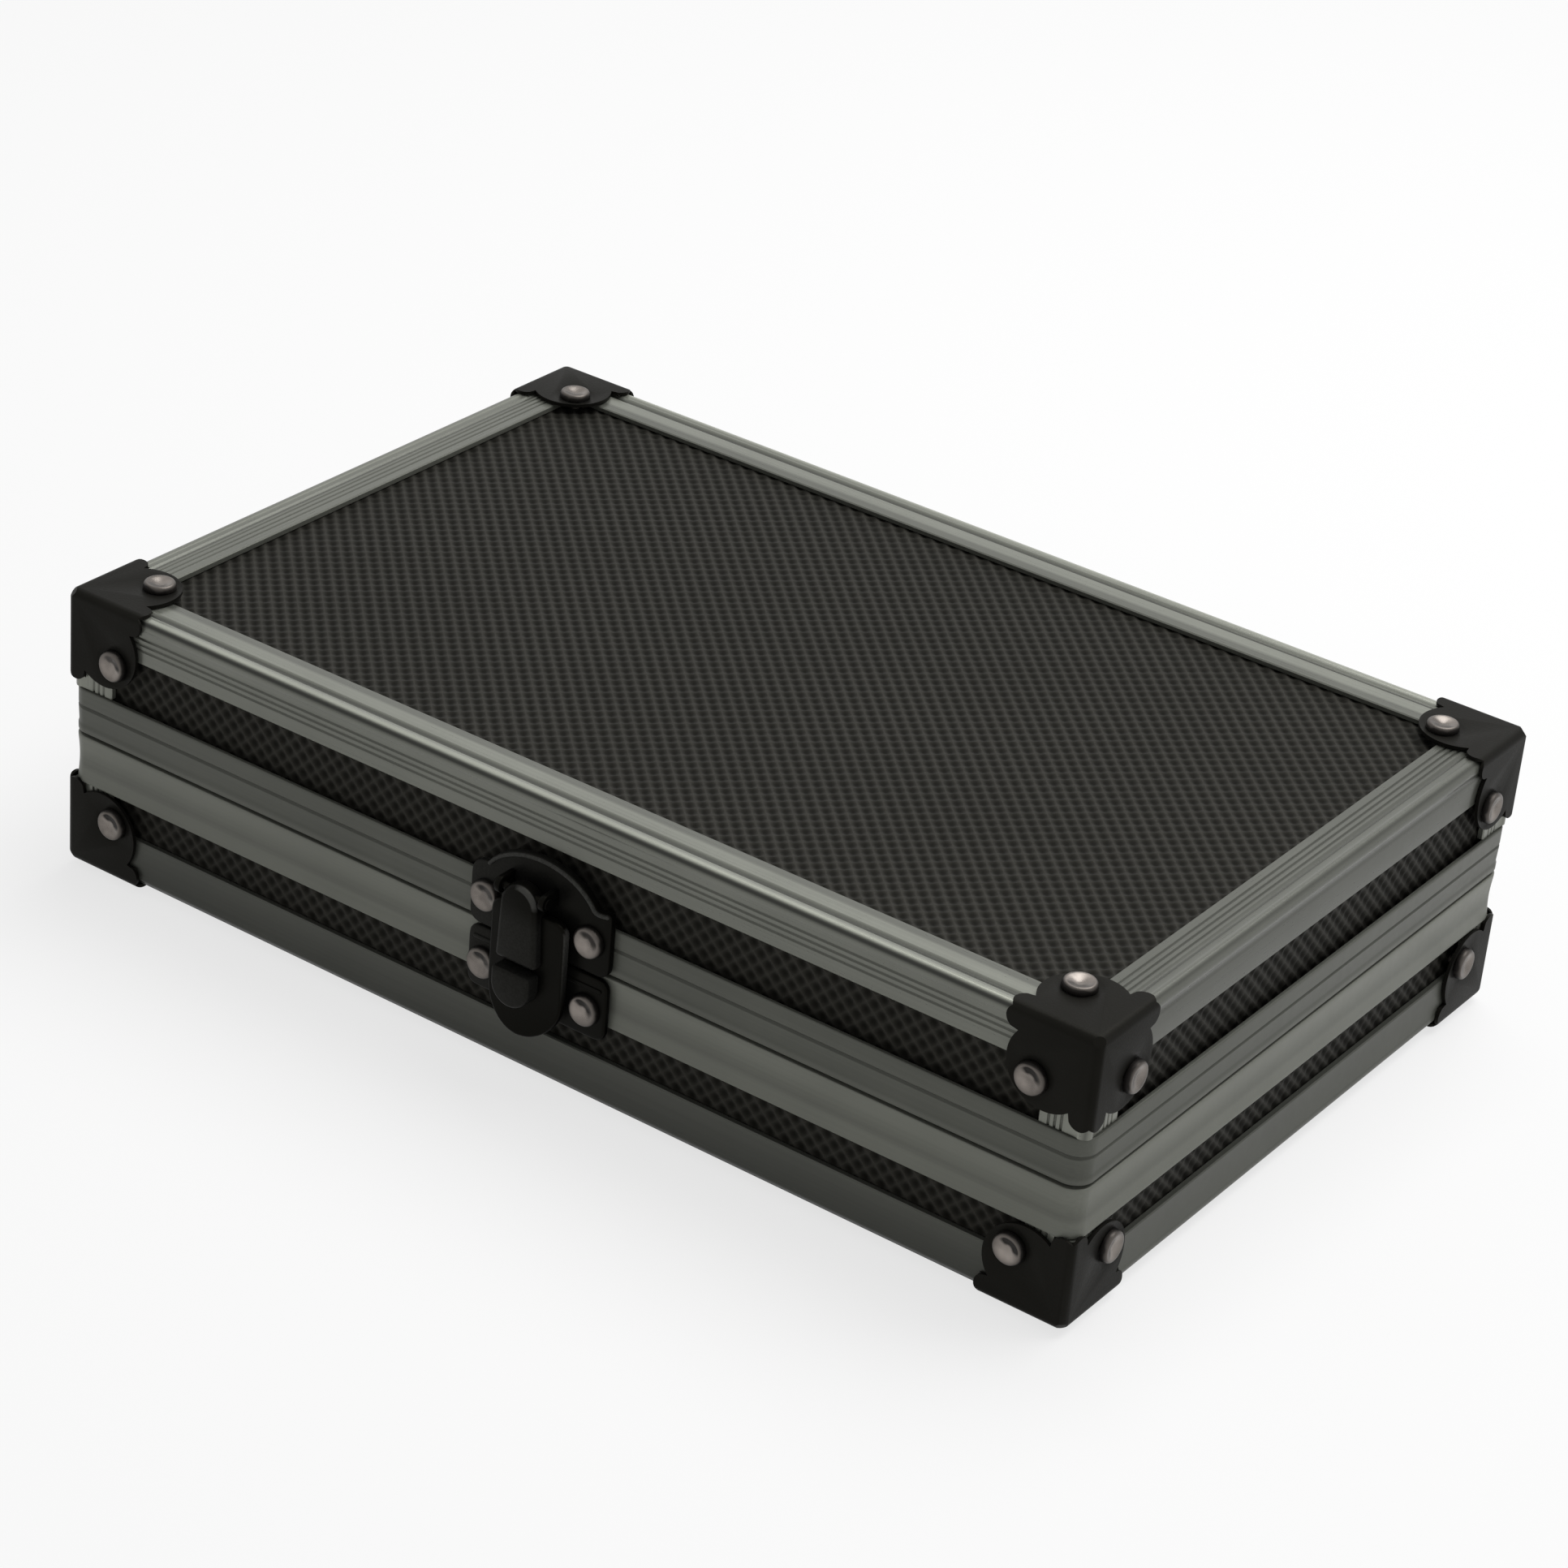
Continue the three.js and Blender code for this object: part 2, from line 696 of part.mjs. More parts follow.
const bracketRoom = bracketSheet + fitGap + liningGap;
const trayBottom = panelInnerDrop + fitGap;
const trayTop = seamBottom - trayTopDrop;
const padTop = frameHeight - panelInnerDrop - fitGap;
const padBottom = padTop - lidPadThickness;

function makeTray(half) {
  const body = block([-liningX, -liningY, trayBottom], [liningX, liningY, trayTop]);
  const wellX = liningX - trayWall;
  const wellY = liningY - trayWall;
  const low = [-wellX, -wellY, trayBottom + trayFloor];
  const well = block(low, [wellX, wellY, trayTop + cutOverrun]);
  const tray = cut(body, well, ...bracketRooms(half, trayBottom, bracketRoom));
  addPiece('base_foam_tray', tray, foamBlack);
}

function makeLidPad(half) {
  const body = block([-liningX, -liningY, padBottom], [liningX, liningY, padTop]);
  const rooms = bracketRooms(half, padTop - bracketRoom, bracketRoom + cutOverrun);
  addPiece('lid_foam_pad', cut(body, ...rooms), foamBlack);
}

// Latch pieces are drawn round X zero and then moved to the latch's place
function frontPlate(shape, near, far, steps = latchSteps) {
  return bar(shape, halfY + near, halfY + far, 'y', steps);
}

function addLatchPiece(name, solid, finish) {
  addPiece(name, solid.translate([latchPlace, 0, 0]), finish);
}

const plateBottom = seamTop - lidPlateDrop;
const earTop = plateBottom + lidDepth * lidEarShare;
const archZ = seamTop + lidDepth * archRiseShare;
const archHeight = lidDepth * archHeightShare;
const pinZ = seamTop + lidDepth * pinRiseShare;
const haspTop = seamTop + lidDepth * haspTopShare;

function lidPlateShape() {
  const shape = new THREE.Shape();
  const side = latchHalfWidth;
  const round = latchEarRound;
  const footX = archHalfWidth * Math.cos(archStart);
  const footZ = archZ + archHeight * Math.sin(archStart);
  shape.moveTo(-side + round, plateBottom);
  shape.lineTo(side - round, plateBottom);
  shape.quadraticCurveTo(side, plateBottom, side, plateBottom + round);
  shape.lineTo(side, earTop - round / 2);
  shape.quadraticCurveTo(side, earTop, side - round / 2, earTop);
  shape.lineTo(footX, footZ);
  shape.absellipse(0, archZ, archHalfWidth, archHeight, archStart, Math.PI - archStart, false);
  shape.lineTo(-side + round / 2, earTop);
  shape.quadraticCurveTo(-side, earTop, -side, earTop - round / 2);
  shape.lineTo(-side, plateBottom + round);
  shape.quadraticCurveTo(-side, plateBottom, -side + round, plateBottom);
  return shape;
}

function makeLidPlate() {
  const near = latchSeat;
  const far = latchSeat + latchSheet;
  const plate = frontPlate(lidPlateShape(), near, far).translate([latchPlateShift, 0, 0]);
  const rivetHoles = [-1, 1].map((side) => (
    rod(holeRadius, -halfY - far - cutOverrun, -halfY, [side * latchRivetX, lidLatchRivetZ], 'y')
  ));
  const lugNear = tongueHalfWidth + runningGap;
  const lugs = [-1, 1].map((side) => {
    const from = tongueShift + (side > 0 ? lugNear : -lugNear - lugSheet);
    const to = from + lugSheet;
    const round = rod(lugRadius, from, to, [-halfY - pinProud, pinZ], 'x', barrelSteps);
    const low = [from, -halfY - pinProud, pinZ - lugRadius];
    const foot = block(low, [to, -halfY - near - latchSheet / 2, pinZ + lugRadius]);
    return joined(round, foot);
  });
  const bore = rod(
    pinRadius + fitGap, -latchHalfWidth, latchHalfWidth, [-halfY - pinProud, pinZ], 'x', barrelSteps,
  );
  const solid = cut(joined(plate, ...lugs), bore, ...rivetHoles);
  addLatchPiece('latch_lid_plate', solid, blackSteel);
}

const catchTop = seamBottom - lidPlateDrop;

function makeCatchPlate() {
  const side = latchHalfWidth;
  const round = latchEarRound;
  const bottom = catchTop - seamBottom * catchEarShare;
  const shape = new THREE.Shape();
  shape.moveTo(-side + round, bottom);
  shape.lineTo(side - round, bottom);
  shape.quadraticCurveTo(side, bottom, side, bottom + round);
  shape.lineTo(side, catchTop - round);
  shape.quadraticCurveTo(side, catchTop, side - round, catchTop);
  shape.lineTo(-side + round, catchTop);
  shape.quadraticCurveTo(-side, catchTop, -side, catchTop - round);
  shape.lineTo(-side, bottom + round);
  shape.quadraticCurveTo(-side, bottom, -side + round, bottom);
  const far = latchSeat + latchSheet;
  const hookTop = seamTop - catchDrop;
  const hook = block(
    [-catchHalfWidth, -halfY - far - catchReach, hookTop - catchThickness],
    [catchHalfWidth, -halfY - far + latchSheet / 2, hookTop],
  );
  const rivetHoles = [-1, 1].map((one) => (
    rod(holeRadius, -halfY - far - cutOverrun, -halfY, [one * latchRivetX, catchRivetZ], 'y')
  ));
  const ears = frontPlate(shape, latchSeat, far).translate([latchPlateShift, 0, 0]);
  addLatchPiece('latch_catch_plate', cut(joined(ears, hook), ...rivetHoles), blackSteel);
}

// The hasp's flange from the side, out from the front face and up: its lower end turns out
function haspSideShape(top, bottom) {
  const shape = new THREE.Shape();
  const lipTop = bottom + lipRise;
  shape.moveTo(-halfY - haspBack, top);
  shape.lineTo(-halfY - haspFront, top);
  shape.lineTo(-halfY - haspFront, lipTop);
  shape.quadraticCurveTo(
    -halfY - haspFront, bottom + lipRise / 2, -halfY - haspFront - lipProud, bottom,
  );
  shape.lineTo(-halfY - haspBack - lipProud, bottom);
  shape.quadraticCurveTo(-halfY - haspBack, bottom + lipRise / 2, -halfY - haspBack, lipTop);
  shape.lineTo(-halfY - haspBack, top);
  return shape;
}

function makeHasp() {
  const bottom = seamTop - seamBottom * haspBottomShare;
  const top = haspTop;
  const plateShape = new THREE.Shape();
  plateShape.moveTo(-haspHalfWidth, bottom + haspHalfWidth);
  plateShape.absarc(0, bottom + haspHalfWidth, haspHalfWidth, Math.PI, 2 * Math.PI, false);
  plateShape.lineTo(haspHalfWidth, top - haspTopRound);
  plateShape.quadraticCurveTo(haspHalfWidth, top, haspHalfWidth - haspTopRound, top);
  plateShape.lineTo(-haspHalfWidth + haspTopRound, top);
  plateShape.quadraticCurveTo(-haspHalfWidth, top, -haspHalfWidth, top - haspTopRound);
  const blank = frontPlate(plateShape, haspBack, haspFront + lipProud, haspSteps);
  const side = bar(haspSideShape(top, bottom), -haspHalfWidth, haspHalfWidth, 'x', curveSteps);
  const plate = blank.intersect(side);

  const axis = [-halfY - pinProud, pinZ];
  const width = tongueHalfWidth;
  const barrel = rod(barrelRadius, -width, width, axis, 'x', barrelSteps);
  const tongueLow = seamTop - tongueBottomDrop;
  const tongueShape = new THREE.Shape();
  tongueShape.moveTo(-width - tongueFlare, tongueLow);
  tongueShape.lineTo(width + tongueFlare, tongueLow);
  tongueShape.lineTo(width, pinZ);
  tongueShape.lineTo(-width, pinZ);
  tongueShape.lineTo(-width - tongueFlare, tongueLow);
  const tongue = frontPlate(tongueShape, haspFront - haspSheet / 2, tongueProud);
  const neckLow = [-width, -halfY - haspFront, top - haspTopRound];
  const neck = block(neckLow, [width, -halfY - pinProud + barrelRadius, pinZ]);

  const bossTop = seamTop - bossTopDrop;
  const bossLow = seamTop - bossBottomDrop;
  const bossShape = new THREE.Shape();
  bossShape.moveTo(-bossHalfWidth, bossTop);
  bossShape.lineTo(-bossHalfWidth, bossLow + bossHalfWidth);
  bossShape.absarc(0, bossLow + bossHalfWidth, bossHalfWidth, Math.PI, 2 * Math.PI, false);
  bossShape.lineTo(bossHalfWidth, bossTop);
  bossShape.lineTo(-bossHalfWidth, bossTop);
  const boss = frontPlate(bossShape, haspFront - haspSheet / 2, bossProud);

  const channelHalf = catchHalfWidth + channelClearance;
  const channel = block(
    [-channelHalf, -halfY - haspBack - channelDepth, bottom - cutOverrun],
    [channelHalf, -halfY - haspBack + cutOverrun, seamTop - catchDrop + channelClearance],
  );
  const bore = rod(pinRadius + fitGap, -latchHalfWidth, latchHalfWidth, axis, 'x', barrelSteps);
  const raised = joined(barrel, tongue, neck, boss).translate([tongueShift, 0, 0]);
  const solid = cut(joined(plate, raised), channel, bore);
  addLatchPiece('latch_hasp', solid, blackSteel);
}

function makeLatchPin() {
  const reach = tongueHalfWidth + runningGap + lugSheet + fitGap;
  const axis = [-halfY - pinProud, pinZ];
  const shaft = rod(pinRadius, -reach - pinHeadLength, reach + pinHeadLength, axis, 'x', barrelSteps);
  const left = rod(pinHeadRadius, -reach - pinHeadLength, -reach, axis, 'x', barrelSteps);
  const right = rod(pinHeadRadius, reach, reach + pinHeadLength, axis, 'x', barrelSteps);
  const pin = joined(shaft, left, right).translate([tongueShift, 0, 0]);
  addLatchPiece('latch_pin', pin, blackSteel);
}

// A leaf spring lying on the lid plate behind the hasp's neck
function makeLatchSpring() {
  const near = latchSeat + latchSheet + fitGap / 2;
  const top = haspTop + haspTopRound / 2;
  const low = [-springHalfWidth, -halfY - near - springThickness / 2, top - springLength];
  const leaf = block(low, [springHalfWidth, -halfY - near, top]).translate([tongueShift, 0, 0]);
  addLatchPiece('latch_spring', leaf, springSteel);
}

// Two rivets through plate, band and board, clinched to a strip inside
function rivetPair(spacing, height, sign, seatFace, head, strip) {
  const inner = innerY - fitGap;
  const stripFar = inner - backingSheet;
  const zs = [height - backingHalfHeight, height + backingHalfHeight];
  const ys = [sign * inner, sign * stripFar].sort((a, b) => a - b);
  const plate = block([-strip, ys[0], zs[0]], [strip, ys[1], zs[1]]);
  const shank = seatFace - inner + backingSheet / 2;
  const solid = rivetSolid(head.radius, head.height, shank);
  const rivets = [-1, 1].map((side) => (
    rivetAt(solid, [0, sign, 0], [side * spacing, sign * seatFace, height])
  ));
  return joined(plate, ...rivets);
}

function makeSeamRivets() {
  const latchHead = { radius: rivetHeadRadius, height: rivetHeadHeight };
  const hingeHead = { radius: hingeRivetHeadRadius, height: hingeRivetHeadHeight };
  const latchSeatFace = halfY + latchSeat + latchSheet + fitGap / 2;
  const hingeSeatFace = halfY + latchSeat + hingeLeafSheet + fitGap / 2;
  const latchStrip = latchRivetX + rivetHeadRadius;
  const hingeStrip = hingeRivetX + rivetHeadRadius;
  const pairs = {
    latch_lid_rivets: [latchRivetX, lidLatchRivetZ, -1, latchSeatFace, latchHead, latchStrip],
    latch_catch_rivets: [latchRivetX, catchRivetZ, -1, latchSeatFace, latchHead, latchStrip],
    hinge_lid_rivets: [hingeRivetX, lidHingeRivetZ, 1, hingeSeatFace, hingeHead, hingeStrip],
    hinge_base_rivets: [hingeRivetX, baseHingeRivetZ, 1, hingeSeatFace, hingeHead, hingeStrip],
  };
  for (const [name, values] of Object.entries(pairs)) {
    const add = name.startsWith('latch') ? addLatchPiece : addPiece;
    add(name, rivetPair(...values), nickel);
  }
}

// A hinge leaf with its knuckles; the lid has the even ones, the base the odd ones
function hingeLeaf(sign, first) {
  const axisY = halfY + hingeAxisProud;
  const near = halfY + latchSeat;
  const far = near + hingeLeafSheet;
  const clear = knuckleRadius + runningGap;
  const leafZ = [seamHeight + sign * clear, seamHeight + sign * hingeLeafHeight];
  leafZ.sort((a, b) => a - b);
  const low = [-hingeHalfLength, near, leafZ[0]];
  let leaf = block(low, [hingeHalfLength, far, leafZ[1]]);
  const pitch = (2 * hingeHalfLength) / knuckleCount;
  for (let i = first; i < knuckleCount; i += 2) {
    const from = -hingeHalfLength + i * pitch + (i > 0 ? runningGap / 2 : 0);
    const last = i === knuckleCount - 1;
    const to = -hingeHalfLength + (i + 1) * pitch - (last ? 0 : runningGap / 2);
    const knuckle = rod(knuckleRadius, from, to, [axisY, seamHeight], 'x', barrelSteps);
    const webZ = [seamHeight, seamHeight + sign * (clear + hingeLeafSheet)].sort((a, b) => a - b);
    const webNear = halfY + latchSeat + runningGap;
    const web = block([from, webNear, webZ[0]], [to, webNear + hingeLeafSheet, webZ[1]]);
    const cutter = rod(knuckleBore, from - cutOverrun, to + cutOverrun, [axisY, seamHeight], 'x',
      barrelSteps);
    leaf = cut(joined(leaf, knuckle, web), cutter);
  }
  const rivetZ = sign > 0 ? lidHingeRivetZ : baseHingeRivetZ;
  const holes = [-1, 1].map((side) => (
    rod(holeRadius, near - cutOverrun, far + cutOverrun, [side * hingeRivetX, rivetZ], 'y')
  ));
  return cut(leaf, ...holes);
}

function makeHinge() {
  addPiece('hinge_lid_leaf', hingeLeaf(1, 1), aluminium);
  addPiece('hinge_base_leaf', hingeLeaf(-1, 0), aluminium);
  const reach = hingeHalfLength + hingePinOverhang;
  const axis = [halfY + hingeAxisProud, seamHeight];
  addPiece('hinge_pin', rod(hingePinRadius, -reach, reach, axis, 'x', barrelSteps), springSteel);
}

for (const half of halves) {
  makePanel(half);
  makeBoards(half);
  makeRails(half);
  makePosts(half);
  makeBand(half);
  makeCaps(half);
  makeRivetSets(half);
}
const [lid, base] = halves;
makeTray(base);
makeLidPad(lid);
makeLidPlate();
makeCatchPlate();
makeHasp();
makeLatchPin();
makeLatchSpring();
makeSeamRivets();
makeHinge();

export default model;
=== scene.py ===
# Looks of the small hard case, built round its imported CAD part. Pieces are drawn in
# millimetres in the part's own frame and become metres when they are finished.
import math

import bmesh
import bpy
from mathutils import Matrix, Vector


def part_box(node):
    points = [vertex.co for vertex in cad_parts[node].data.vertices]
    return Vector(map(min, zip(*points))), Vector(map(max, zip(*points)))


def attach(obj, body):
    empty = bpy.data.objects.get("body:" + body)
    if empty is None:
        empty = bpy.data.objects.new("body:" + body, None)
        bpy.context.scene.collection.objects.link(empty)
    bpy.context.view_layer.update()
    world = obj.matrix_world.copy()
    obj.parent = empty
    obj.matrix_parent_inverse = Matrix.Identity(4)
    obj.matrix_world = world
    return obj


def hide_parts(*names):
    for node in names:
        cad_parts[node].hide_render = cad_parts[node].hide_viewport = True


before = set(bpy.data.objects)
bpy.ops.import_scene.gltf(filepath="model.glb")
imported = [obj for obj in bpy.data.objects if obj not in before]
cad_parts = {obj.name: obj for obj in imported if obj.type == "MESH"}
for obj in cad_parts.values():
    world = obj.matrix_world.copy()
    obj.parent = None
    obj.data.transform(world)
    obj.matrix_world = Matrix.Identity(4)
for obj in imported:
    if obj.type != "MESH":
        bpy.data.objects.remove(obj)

MM = 0.001
WELD = 1e-4
SMOOTH_ANGLE = math.radians(32)
SOFT_ANGLE = math.radians(35)
FLAT_ANGLE = math.radians(1)
QUARTER = math.pi / 2
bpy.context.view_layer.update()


def box(node):
    """The two corners of a CAD node in millimetres."""
    low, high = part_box(node)
    return low / MM, high / MM


# Sizes shared with the part's source
CAP_SHEET = 0.6
CAP_SEAT = 0.25
CAP_PROUD = CAP_SEAT + CAP_SHEET
RAIL_SHEET = 1.0
RAIL_TOP_LEG = 8.4
RAIL_SIDE_LEG = 8.0
BEAD_RADIUS = 1.35
BEAD_PROUD = 0.15
BOARD_GAP = 0.1
BOARD_SHEET = 2.2
SEAM_GAP = 0.6
BAND_SHEET = 0.7
BAND_RADIUS = 3.5
PLATE_SHEET = 1.2
PLATE_SEAT = 0.1

# Places read from the frame
cap_low = box("base_cap_front_left")[0]
cap_high = box("lid_cap_back_right")[1]
band_low, band_high = box("lid_closing_band")
MIDDLE_Y = (band_low.y + band_high.y) / 2
HALF_X = band_high.x
HALF_Y = (band_high.y - band_low.y) / 2
FRAME_X = cap_high.x - CAP_PROUD
FRAME_Y = cap_high.y - MIDDLE_Y - CAP_PROUD
SEAM_TOP = band_low.z
SEAM_BOTTOM = SEAM_TOP - SEAM_GAP
FRONT = MIDDLE_Y - HALF_Y
BACK = MIDDLE_Y + HALF_Y
BOARD_X = FRAME_X - RAIL_SHEET - BOARD_GAP
BOARD_Y = FRAME_Y - RAIL_SHEET - BOARD_GAP


class Half:
    """The lid or the base, drawn with its outer face at height zero and its depth below."""

    def __init__(self, name, up, outer, seam, band_end):
        self.name = name
        self.up = up
        self.depth = abs(outer - seam)
        self.band_height = abs(band_end - seam)
        lift = Matrix.Translation((0, MIDDLE_Y, outer))
        self.matrix = lift @ Matrix.Diagonal((1, 1, up, 1))

    def box(self, node):
        """The two corners of one of this half's CAD nodes."""
        return box(f"{self.name}_{node}")

    def add(self, name, bm, material, slot, node):
        """Finishes a piece that rides on this half in place of one of its CAD nodes."""
        replaced = [f"{self.name}_{node}"]
        return add_piece(f"{self.name}_{name}", bm, material, self.name, replaced)


LID = Half("lid", 1, cap_high.z - CAP_PROUD, SEAM_TOP, band_high.z)
BASE = Half("base", -1, cap_low.z + CAP_PROUD, SEAM_BOTTOM, box("base_closing_band")[0].z)
HALVES = (LID, BASE)
CORNERS = {
    "front_left": (-1, -1),
    "front_right": (1, -1),
    "back_left": (-1, 1),
    "back_right": (1, 1),
}


# Shader building
class Value:
    """A shader socket that takes part in Python arithmetic."""

    def __init__(self, shader, socket):
        self.shader = shader
        self.socket = socket

    def math(self, operation, *values):
        return self.shader.node("ShaderNodeMath", {"operation": operation}, *values)

    def __add__(self, other):
        return self.math("ADD", self, other)

    __radd__ = __add__

    def __sub__(self, other):
        return self.math("SUBTRACT", self, other)

    def __rsub__(self, other):
        return self.math("SUBTRACT", other, self)

    def __mul__(self, other):
        return self.math("MULTIPLY", self, other)

    __rmul__ = __mul__

    def __pow__(self, exponent):
        return self.math("POWER", self, exponent)

    def clamped(self):
        limited = {"operation": "MULTIPLY", "use_clamp": True}
        return self.shader.node("ShaderNodeMath", limited, self, 1.0)

    def ridged(self):
        """1 at every half turn of an angle, and 0 midway between two of them."""
        return 1.0 - self.math("ABSOLUTE", self.math("SINE", self))


class Nodes:
    """A node tree that makes its nodes in one call each."""

    def __init__(self, tree):
        self.tree = tree
        self.tree.nodes.clear()

    def node(self, kind, settings, *values, out=0, **named):
        """Makes a node: its settings first, then its sockets in order or by name."""
        made = self.tree.nodes.new(kind)
        for key, setting in settings.items():
            setattr(made, key, setting)
        for key, value in {**dict(enumerate(values)), **named}.items():
            target = made.inputs[key.replace("_", " ") if isinstance(key, str) else key]
            if isinstance(value, Value):
                self.tree.links.new(value.socket, target)
            else:
                target.default_value = value
        return None if out is None else Value(self, made.outputs[out])

    def seen_directly(self):
        """1 for the camera's own rays and for those that gloss or glass sends on."""
        kinds = ("Is Camera Ray", "Is Glossy Ray", "Is Transmission Ray")
        rays = [self.node("ShaderNodeLightPath", {}, out=kind) for kind in kinds]
        return (rays[0] + rays[1] + rays[2]).clamped()


class Shader(Nodes):
    """One material and its nodes."""

    def __init__(self, name):
        self.material = bpy.data.materials.new(name)
        self.material.use_nodes = True
        super().__init__(self.material.node_tree)
        self.place = self.node("ShaderNodeTexCoord", {}, out="Object")

    def stretched(self, scale):
        """Object coordinates in millimetres, stretched along the axes."""
        size = tuple(one / MM for one in scale)
        return self.node("ShaderNodeMapping", {}, Vector=self.place, Scale=size)

    def layer(self, name):
        """A number that a piece keeps at each of its points."""
        return self.node("ShaderNodeAttribute", {"attribute_name": name}, out="Fac")

    def noise(self, scale, detail, roughness, where=None):
        return self.node(
            "ShaderNodeTexNoise",
            {},
            Vector=where or self.stretched((1, 1, 1)),
            Scale=scale,
            Detail=detail,
            Roughness=roughness,
        )

    def mixed(self, factor, first, second):
        """A colour between two others."""
        made = self.tree.nodes.new("ShaderNodeMix")
        made.data_type = "RGBA"
        for index, value in ((0, factor), (6, first), (7, second)):
            if isinstance(value, Value):
                self.tree.links.new(value.socket, made.inputs[index])
            else:
                made.inputs[index].default_value = value if index == 0 else (*value, 1)
        return Value(self, made.outputs[2])

    def finish(self, height=None, bump=0.0, **sockets):
        """Links the surface: named sockets of the Principled shader and a bump."""
        principled = self.tree.nodes.new("ShaderNodeBsdfPrincipled")
        for key, value in sockets.items():
            target = principled.inputs[key.replace("_", " ")]
            if isinstance(value, Value):
                self.tree.links.new(value.socket, target)
            elif isinstance(value, tuple):
                target.default_value = (*value, 1)
            else:
                target.default_value = value
        if height is not None:
            normal = self.node("ShaderNodeBump", {}, Strength=1.0, Distance=bump * MM, Height=height)
            self.tree.links.new(normal.socket, principled.inputs["Normal"])
        output = self.tree.nodes.new("ShaderNodeOutputMaterial")
        self.tree.links.new(principled.outputs[0], output.inputs[0])
        return self.material


# Tints
METAL = (0.97, 1.0, 0.86)
BLACK = (1.04, 1.0, 0.87)
NICKEL_TINT = (1.12, 1.0, 0.9)
PLAIN = (1, 1, 1)
WARM = (1.0, 0.96, 0.76)
LIGHTENED_GREY = (0.06, 0.06, 0.056)

# Noises, as scale per millimetre, detail and roughness
DRAW_LINES = (2.0, 2.0, 0.5)
METAL_CLOUD = (0.07, 2.0, 0.5)
METAL_SMUDGE = (0.6, 3.0, 0.5)
SKIN_GRAIN = (4.5, 3.0, 0.6)
SKIN_CLOUD = (0.05, 2.0, 0.5)
LACQUER_PEEL = (2.6, 3.0, 0.55)
LACQUER_CLOUD = (0.16, 3.0, 0.5)
PLATE_SCUFF = (5.0, 4.0, 0.7)
PLATE_FILM = (0.3, 2.0, 0.5)
FOAM_GRAIN = (1.1, 4.0, 0.6)

# Measures of the finishes
DRAW_LINE_STRETCH = 0.01
METALLIC_PER_GLOSS = 1.5
EMBOSS_PITCH = 2.1
EMBOSS_CRISPNESS = 1.35
FIELD_YIELD = 0.78
CROSSING_HIGHLIGHT = 0.5
SKIN_ROUGHNESS = 0.72
RIDGE_POLISH = 0.2
PLATED_METALLIC = 0.9
PAINTED_SHADE_LEVEL = 0.12
PAINTED_SHADE_ROUGHNESS = 0.2
FOAM_CELLS = 2.4
FOAM_LIGHT = 0.03
FOAM_DARK = 0.006


def tinted(level, tint):
    """A linear colour: a level times a tint."""
    return tuple(level * share for share in tint)


def uneven(level, *noises):
    """A level that noises move up and down, each by its share."""
    swing = sum(share for _, share in noises) / 2
    return sum((noise * share for noise, share in noises), level - swing)


def aluminium(name, axis, light, dark, rough=0.3, gloss=0.3):
    """Satin extruded aluminium: draw lines along an axis, and painted highlights and painted shade
    from the tone layer.
    """
    shader = Shader(name)
    along = [DRAW_LINE_STRETCH if one == axis else 1 for one in "xyz"]
    lines = shader.noise(*DRAW_LINES, shader.stretched(along))
    cloud = shader.noise(*METAL_CLOUD)
    smudge = shader.noise(*METAL_SMUDGE)
    blend = uneven(0.5, (lines, 0.6), (cloud, 0.5)).clamped()
    metal = shader.mixed(blend, tinted(dark, METAL), tinted(light, METAL))
    # The tone layer is painted light and shade across each profile: highlights on the beads, shade
    # in the grooves and on faces turned from the light.
    tone = shader.layer("tone")
    colour = shader.node("ShaderNodeVectorMath", {"operation": "SCALE"}, metal, Scale=tone)
    return shader.finish(
        Base_Color=colour,
        Metallic=gloss * METALLIC_PER_GLOSS,
        Roughness=uneven(rough, (lines, 0.14), (smudge, 0.12)),
        Specular_IOR_Level=gloss,
    )


def embossed_skin(name, light, dark, falling_highlight):
    """Black laminate with a painted highlight on its raised field, stronger on the falling ridges
    and brightest at their crossings, and painted shade in the pits.
    """
    shader = Shader(name)
    place = shader.node("ShaderNodeUVMap", {"uv_map": "board"})
    split = shader.tree.nodes.new("ShaderNodeSeparateXYZ")
    shader.tree.links.new(place.socket, split.inputs[0])
    u = Value(shader, split.outputs[0])
    v = Value(shader, split.outputs[1])
    turn = math.pi / (EMBOSS_PITCH * math.sqrt(2))
    rising = ((u - v) * turn).ridged()
    falling = ((u + v) * turn).ridged()
    pit = (1.0 - rising) * (1.0 - falling)
    field = (1.0 - pit) ** EMBOSS_CRISPNESS
    crossing = rising * falling
    # Painted highlight on the ridges and crossings, painted shade in the pits.
    ridge_highlight = field * (1 - falling_highlight * FIELD_YIELD) + falling * falling_highlight + crossing * (falling_highlight * CROSSING_HIGHLIGHT)
    grain = shader.noise(*SKIN_GRAIN)
    cloud = shader.noise(*SKIN_CLOUD)
    tone = (ridge_highlight * uneven(0.8, (grain, 0.9)) * uneven(1.0, (cloud, 0.6))).clamped()
    colour = shader.mixed(tone, tinted(dark, BLACK), tinted(light, BLACK))
    return shader.finish(
        height=field + grain * 0.2,
        bump=0.1,
        Base_Color=colour,
        Roughness=SKIN_ROUGHNESS - field * RIDGE_POLISH,
        Specular_IOR_Level=0.1,
        Specular_Tint=WARM,
    )


